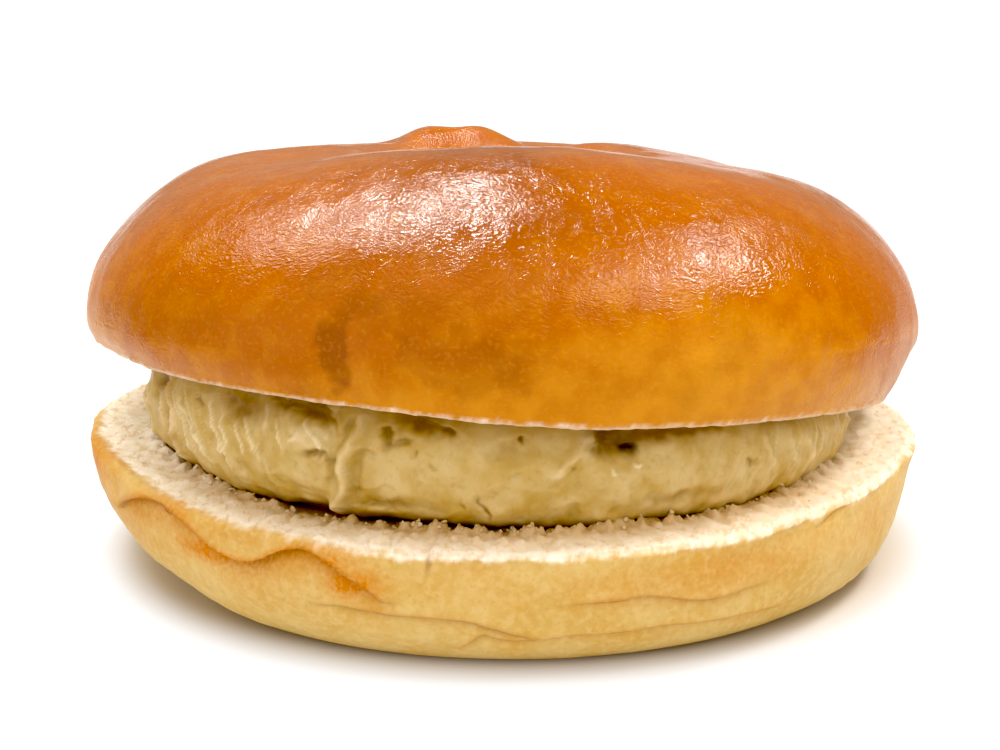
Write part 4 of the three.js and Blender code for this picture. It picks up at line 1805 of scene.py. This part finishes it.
    # Dents that sink in are browned, and some burnt: partly the flesh's own browning, and partly painted
    # shade in the hollows, under the top half's edge and along the foot.
    dents: tuple[Dent, ...] = (
        Dent(-162.5, 26.3, -1.4, 2.2, 1.8, browned=0.85, burnt_and_shade=0.1),
        Dent(-144.5, 27.6, -0.2, 0.6, 0.35, browned=0.7),
        Dent(-134.0, 28.6, -0.4, 5.0, 1.6, browned=0.7),
        Dent(-126.0, 30.2, -1.0, 2.0, 0.9, browned=0.85, crisp=1.4),
        Dent(-121.0, 30.1, -1.3, 3.0, 0.9, browned=1.0, burnt_and_shade=0.25, crisp=1.4),
        Dent(-117.4, 29.6, -0.8, 1.6, 0.9, browned=0.7),
        Dent(-120.6, 27.4, 0.6, 2.8, 1.4, milky_and_glint=0.5, crisp=1.4),
        Dent(-116.6, 27.2, -1.1, 1.5, 1.7, milky_and_glint=0.15),
        Dent(-122.6, 26.6, 0.4, 0.8, 0.8, milky_and_glint=0.4),
        Dent(-118.6, 25.1, -0.8, 2.8, 0.42, browned=1.0, crisp=1.4),
        Dent(-122.0, 21.8, 0.8, 7.0, 2.6),
        Dent(-115.3, 18.8, 0.9, 1.1, 1.1, milky_and_glint=0.3),
        Dent(-112.3, 21.0, -0.4, 0.6, 0.6, browned=0.3),
        Dent(-110.3, 26.0, -0.5, 1.2, 0.45, browned=0.35),
        Dent(-107.5, 19.5, -0.8, 4.5, 0.8, browned=0.55),
        Dent(-106.7, 28.0, -1.2, 1.2, 1.1, browned=0.7, crisp=1.1),
        Dent(-104.4, 27.6, -0.7, 1.3, 0.6, browned=0.5),
        Dent(-102.4, 30.0, -1.1, 1.4, 0.8, browned=0.8),
        Dent(-100.2, 29.6, -0.9, 1.6, 0.6, browned=0.7),
        Dent(-97.8, 29.1, -1.0, 1.2, 0.6, browned=0.8),
        Dent(-103.0, 30.6, -0.5, 5.0, 0.9, browned=0.55),
        Dent(-102.2, 26.5, -0.3, 0.42, 0.32, browned=0.95),
        Dent(-99.4, 25.4, -0.1, 0.4, 0.3, browned=0.5),
        Dent(-95.6, 20.5, -0.1, 0.4, 0.3, burnt_and_shade=0.5),
        Dent(-93.0, 22.3, 0.8, 11.0, 3.6),
        Dent(-88.8, 26.9, -0.4, 3.0, 1.3, browned=0.22, crisp=1.5),
        Dent(-86.8, 28.6, -0.7, 0.5, 0.42, browned=0.9, burnt_and_shade=0.3),
        Dent(-79.0, 25.2, -0.2, 0.5, 0.35, browned=0.5),
        Dent(-74.6, 28.2, -0.9, 1.2, 1.0, browned=0.8),
        Dent(-72.2, 27.9, -2.0, 3.6, 1.9, browned=1.0, burnt_and_shade=0.3, crisp=1.3),
        Dent(-70.4, 26.6, -0.9, 1.0, 0.45, burnt_and_shade=1.0, crisp=1.5),
        Dent(-66.5, 28.4, -0.9, 3.2, 1.2, browned=0.9),
        Dent(-62.0, 28.2, -0.7, 4.0, 1.0, browned=0.85),
        Dent(-55.0, 28.0, -0.5, 6.0, 1.0, browned=0.7),
        # Painted highlights: these two small bulges are painted pale as glints.
        Dent(-72.8, 24.0, 0.3, 0.5, 0.3, milky_and_glint=0.9),
        Dent(-70.0, 24.5, 0.3, 0.45, 0.3, milky_and_glint=0.9),
        Dent(-62.0, 19.8, -0.3, 8.0, 0.8, browned=0.4),
        Dent(-48.7, 22.5, -0.5, 0.45, 0.7, browned=0.7),
        Dent(-50.0, 22.0, 0.5, 14.0, 3.5),
        Dent(-140.0, 22.0, 0.5, 9.0, 4.0),
        Dent(-36.0, 26.5, -0.4, 8.0, 1.0, browned=0.5),
    )

    def section(self, angle: Array) -> tuple[Array, Array, Array, Array]:
        """Half sections at every angle, from the underside's middle round the edge to the upper side.

        The edge is a rounded bulge: a power of a cosine outwards and of a sine upwards, between the
        bottom half's cut face and the top half's cut plane.

        Args:
            angle: Angles of the columns.

        Returns:
            Radii, heights, how far each row is out on the edge from zero to one, and its climb up the
            edge from zero to one.
        """
        row = angle[None, :]
        outline = self.bottom.outline.at(row)
        east, north = np.cos(np.radians(row)), np.sin(np.radians(row))

        def under(radius: Array) -> Array:
            """Height of the underside."""
            return self.bottom.cut_height(row, radius) + self.clearance

        def over(radius: Array) -> Array:
            """Height of the upper side."""
            return self.top.cut_plane(radius * east, radius * north) - self.clearance

        depth = np.minimum(self.edge_depth, (over(outline) - under(outline)) / 2.0)
        inner = outline - depth
        flat = np.linspace(*self.flat_radii, self.flat_rows)[:, None] * np.ones_like(row)
        lean = np.linspace(-np.pi / 2.0, np.pi / 2.0, self.edge_rows)[:, None]
        climb = (1.0 + np.sign(lean) * np.abs(np.sin(lean)) ** self.edge_power) / 2.0
        swell = np.maximum(np.cos(lean), 0.0) ** self.edge_power * np.ones_like(row)
        level = mix(under(inner), over(inner), climb)
        radius = np.concatenate([flat, inner + depth * swell, flat[::-1]])
        height = np.concatenate([under(flat), level, over(flat[::-1])])
        none = np.zeros_like(flat)
        swell = np.concatenate([none, swell, none])
        climb = np.concatenate([none, climb * np.ones_like(row), none + 1.0])
        return radius, height, swell, climb

    def fibres(self, angle: Array, height: Array, noise: Noise) -> tuple[Array, Array]:
        """Slanting fibres at the two sides: how far they stand out, and their pale crests.

        They are noise that is drawn out along lines which lean one way on the left and the other way
        on the right. A crest lies wherever the noise is near zero.

        Args:
            angle: Angles that don't jump at the front.
            height: Heights on the edge.
            noise: Noise to draw out.

        Returns:
            How far the edge moves out, and the share of the crests.
        """
        lean = mix(*self.fibre_slants, self.fibre_turn.at(angle))
        slant = angle + lean * (height - self.fibre_level)
        drawn = np.stack([slant * self.degree_length, height / self.fibre_draw, 0.0 * height], -1)
        fibre = self.fibre_grain.at(noise, drawn)
        crest = bell(fibre, self.crest_spread)
        fibrous = sum(side.at(angle) for side in self.fibrous)
        return fibrous * (self.fibre_height * fibre + self.fibre_crest * crest), fibrous * crest

    def build(self) -> Shape:
        """Build the piece with its masks.

        Returns:
            The piece.
        """
        angle = self.steps.degrees()
        radius, height, swell, climb = self.section(angle)
        front = np.broadcast_to(FRONT + turn(FRONT, angle)[None, :], radius.shape)
        plain = around(radius, height, angle[None, :])
        noise = Noise(self.seed)
        bent = front + self.bend.at(noise, plain)
        raised = height + self.rise.at(noise, plain)
        out = -self.undercut * (1.0 - self.undercut_rise.at(climb))
        browned, burnt_and_shade, milky_and_glint = (np.zeros_like(radius) for _ in range(3))
        for dent in self.dents:
            cover = dent.cover(bent, raised)
            out += dent.out * cover
            browned += dent.browned * cover
            burnt_and_shade += dent.burnt_and_shade * cover
            milky_and_glint += dent.milky_and_glint * cover
        for thread in self.threads:
            cover = thread.cover(mix(front, bent, self.thread_bend), height)
            out += thread.out * cover
            browned += thread.browned * cover
            milky_and_glint += thread.milky_and_glint * cover
        strands, crests = self.fibres(front, height, noise)
        ridges = self.ridge_height * (1.0 - np.abs(self.ridge_grain.at(noise, plain)))
        middle, spread = self.foot_band
        drawn = plain * np.array([1.0, 1.0, self.foot_draw])
        foot = bell(climb - middle, spread) * self.foot_grain.at(noise, drawn)
        out = out + strands + layered(self.swells, noise, plain) + ridges + foot
        milky_and_glint = milky_and_glint + self.fibre_milk * crests * self.fibre_rise.at(climb)
        # Painted shade: dark at the foot, and browner under the top half's edge.
        low = 1.0 - self.foot_rise.at(climb + self.foot_wander.at(noise, plain))
        browned = browned * (1.0 + self.brown_grain.at(noise, plain))
        browned = browned + self.upper_brown_and_shade.at(climb) + self.foot_shade * low
        burnt_and_shade = burnt_and_shade + self.foot_deep_shade * (1.0 - self.deep_shade_rise.at(climb))
        lifted = (1.0 - self.lift_rise.at(climb)) * self.lift_edge.at(swell)
        height = height + course_at(self.foot_lift, front) * lifted
        radius = radius + out * self.edge_rise.at(swell)
        points = around(radius, height, angle[None, :]).reshape(-1, 3)
        ends = np.array([[0.0, 0.0, height[0].mean()], [0.0, 0.0, height[-1].mean()]])
        points = np.concatenate([points, ends]) + np.array([0.0, self.bottom.centre_y, 0.0])
        quads, triangles = ring_faces(*radius.shape, Closing.CAPS)
        piece = mesh_object("patty_flesh", points, quads, triangles)
        for name, values in (("browned", browned), ("burnt_and_shade", burnt_and_shade), ("milky_and_glint", milky_and_glint)):
            give_mask(piece, name, np.concatenate([np.clip(values, 0.0, 1.0).ravel(), [0.0, 0.0]]))
        return piece


# The studio


@dataclass(frozen=True)
class SoftBox:
    """A square-edged soft light: its middle, what it faces, its width and height, glow and colour."""

    name: str
    place: tuple[float, float, float]
    aim: tuple[float, float, float]
    size: tuple[float, float]
    glow: float
    warmth: Paint = Paint(255, 252, 247)

    def build(self) -> None:
        """Hang the light: its power is its glow times its area times pi."""
        light = bpy.data.lights.new(self.name, "AREA")
        light.shape = "RECTANGLE"
        light.size, light.size_y = (side * MM for side in self.size)
        light.energy = self.glow * np.pi * light.size * light.size_y
        light.color = self.warmth.linear()[:3]
        lamp = bpy.data.objects.new(self.name, light)
        bpy.context.scene.collection.objects.link(lamp)
        lamp.location = Vector(self.place) * MM
        lamp.rotation_mode = "QUATERNION"
        lamp.rotation_quaternion = (Vector(self.aim) - Vector(self.place)).to_track_quat("-Z", "Y")


@dataclass
class Studio:
    """Pale floor, soft lights, surroundings and camera."""

    target: tuple[float, float, float] = (0.0, -2.0, 23.2)
    distance: float = 400.0
    elevation: float = 16.2
    focal_pixels: float = 2936.0
    picture_width: float = 1000.0
    sensor_width: float = 36.0
    toe: tuple[float, float, float] = (0.012, 0.018, 0.034)
    floor_reach: tuple[Range, Range] = ((-190.0, 190.0), (-420.0, 520.0))
    floor_cells: int = 8
    floor_height: float = -0.05
    shade_middle: Range = (0.002, -0.002)
    shade_radius: Range = (0.0498, -0.0064)
    shade_reach: Range = (0.0092, 0.0065)
    # Warm grey of the painted shadow about the foot: colour that stands in for shade and for warm light
    # thrown back by the bread.
    shade_tints: tuple[tuple[float, ...], tuple[float, ...]] = (
        (0.63, 0.575, 0.515, 1.0), (0.65, 0.595, 0.535, 1.0),
    )
    lights: tuple[SoftBox, ...] = (
        SoftBox("key_left", (-60.0, 232.0, 474.0), (-10.0, -40.0, 54.0), (84.0, 66.0), 108.0),
        SoftBox("wing_left", (-190.0, 215.0, 460.0), (-10.0, -40.0, 54.0), (120.0, 80.0), 24.0),
        SoftBox("key_right", (310.0, 110.0, 430.0), (26.0, -40.0, 49.0), (120.0, 110.0), 34.0),
        SoftBox("haze_left", (-300.0, 185.0, 415.0), (-20.0, -30.0, 52.0), (150.0, 150.0), 7.0),
        SoftBox("fill_right", (215.0, -110.0, 430.0), (24.0, -44.0, 45.0), (190.0, 160.0), 6.2),
        SoftBox("top", (-110.0, -70.0, 560.0), (-10.0, -40.0, 54.0), (160.0, 60.0), 2.5),
    )

    def floor(self) -> Shape:
        """Lay the floor: a flat sheet that glows white as painted light, with a painted shadow about the
        sandwich's foot.

        The painted glow rises softly with the distance from an oval about the foot. Within the oval the
        colour is a darker warm grey, which is painted shade. The oval's radius and the width of the rise
        are each a value plus another times the share of the way that lies along Y.

        Returns:
            The floor.
        """
        side = self.floor_cells + 1
        east, north = np.meshgrid(*(np.linspace(*reach, side) for reach in self.floor_reach))
        points = np.stack([east, north, np.full_like(east, self.floor_height)], -1).reshape(-1, 3)
        cells = np.arange(self.floor_cells)
        start = (cells[:, None] * side + cells[None, :]).ravel()
        quads = np.stack([start, start + 1, start + side + 1, start + side], -1)
        floor = mesh_object("floor", points, quads, np.zeros((0, 3), int))
        material, recipe, shader, place = new_material("floor_painted_glow")
        way = recipe.add("SeparateXYZ", {"Vector": place})
        middle_x, middle_y = self.shade_middle
        along = recipe.maths("POWER", recipe.maths("SUBTRACT", way.outputs["Y"], middle_y), 2.0)
        across = recipe.maths("POWER", recipe.maths("SUBTRACT", way.outputs["X"], middle_x), 2.0)
        square = recipe.plus(across, along)
        ahead = recipe.maths("DIVIDE", along, square)
        spans = (self.shade_radius, self.shade_reach)
        radius, reach = (recipe.line(ahead, more, base) for base, more in spans)
        away = recipe.maths("SUBTRACT", recipe.maths("SQRT", square), radius)
        # Painted light: beyond the oval the floor glows white, and within it the colour turns to a darker
        # warm grey, a painted shadow about the foot.
        painted_glow = recipe.between(recipe.maths("DIVIDE", away, reach), 0.05, 1.0)
        painted_shade = recipe.blend(recipe.noise(place, 9.0, 3.0), *self.shade_tints)
        recipe.fill(shader, {
            "Base Color": recipe.blend(painted_glow, painted_shade, (0.1, 0.1, 0.1, 1.0)),
            "Emission Strength": painted_glow,
            "Emission Color": (1.0, 1.0, 1.0, 1.0),
            "Roughness": 0.9,
            "Specular IOR Level": 0.1,
        })
        floor.data.materials.append(material)
        return floor

    def surroundings(self) -> None:
        """Light the room: white below the table's level, dim around and behind, brighter overhead."""
        world = bpy.data.worlds.new("studio_room")
        bpy.context.scene.world = world
        world.use_nodes = True
        recipe = Recipe(world.node_tree)
        way = recipe.add("SeparateXYZ", {"Vector": recipe.add("TexCoord").outputs["Generated"]})
        east, north, up = (way.outputs[name] for name in "XYZ")
        behind = recipe.between(north, -0.4, 0.5)
        room = recipe.plus(recipe.between(up, 0.05, 0.35, 1.6, 1.15), recipe.between(up, 0.6, 0.95, 0.0, 0.4))
        room = recipe.plus(room, recipe.between(east, -0.9, 0.5, 0.2, -0.05))
        room = recipe.times(room, recipe.line(behind, -0.68, 1.0))
        table = recipe.line(behind, -0.7, 1.0)
        recipe.fill(world.node_tree.nodes["Background"], {
            "Strength": recipe.split(recipe.between(up, -0.12, 0.05, 1.0, 0.0), room, table),
            "Color": recipe.blend(behind, (1.0, 0.98, 0.95, 1.0), (1.0, 0.94, 0.84, 1.0)),
        })

    def camera(self) -> None:
        """Set the camera up at the photograph's angle."""
        data = bpy.data.cameras.new("camera")
        data.sensor_width = self.sensor_width
        data.lens = self.sensor_width * self.focal_pixels / self.picture_width
        data.clip_start, data.clip_end = 0.01, 20.0
        camera = bpy.data.objects.new("camera", data)
        bpy.context.scene.collection.objects.link(camera)
        lift = np.radians(self.elevation)
        back = Vector((0.0, -np.cos(lift), np.sin(lift)))
        camera.location = (Vector(self.target) + back * self.distance) * MM
        camera.rotation_mode = "QUATERNION"
        camera.rotation_quaternion = (-back).to_track_quat("-Z", "Y")
        bpy.context.scene.camera = camera

    def build(self) -> None:
        """Set up the whole studio and the picture's tone."""
        self.floor()
        self.surroundings()
        self.camera()
        for light in self.lights:
            light.build()
        view = bpy.context.scene.view_settings
        view.view_transform = "Standard"
        view.look = "None"
        view.use_curve_mapping = True
        view.curve_mapping.black_level = self.toe
        view.curve_mapping.update()


def main() -> None:
    """Build the sandwich and its studio."""
    logging.basicConfig(level=logging.INFO, format="%(name)s: %(message)s")
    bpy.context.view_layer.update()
    patterns = Patterns()
    bottom = BottomHalf(Outline())
    top = TopHalf(bottom)
    pale = PaleCrust().material(patterns)
    parts = (
        (bottom, pale),
        (Tufts(bottom), pale),
        (Patty(bottom, top), CookedPatty().material(patterns)),
        (top, GlazedCrust().material(patterns)),
    )
    for part, finish in parts:
        piece = part.build()
        part.dress(piece, finish)
        LOG.info("%s: %d faces", piece.name, len(piece.data.polygons))
    Studio().build()
    bpy.context.view_layer.update()


if __name__ == "__main__":
    main()
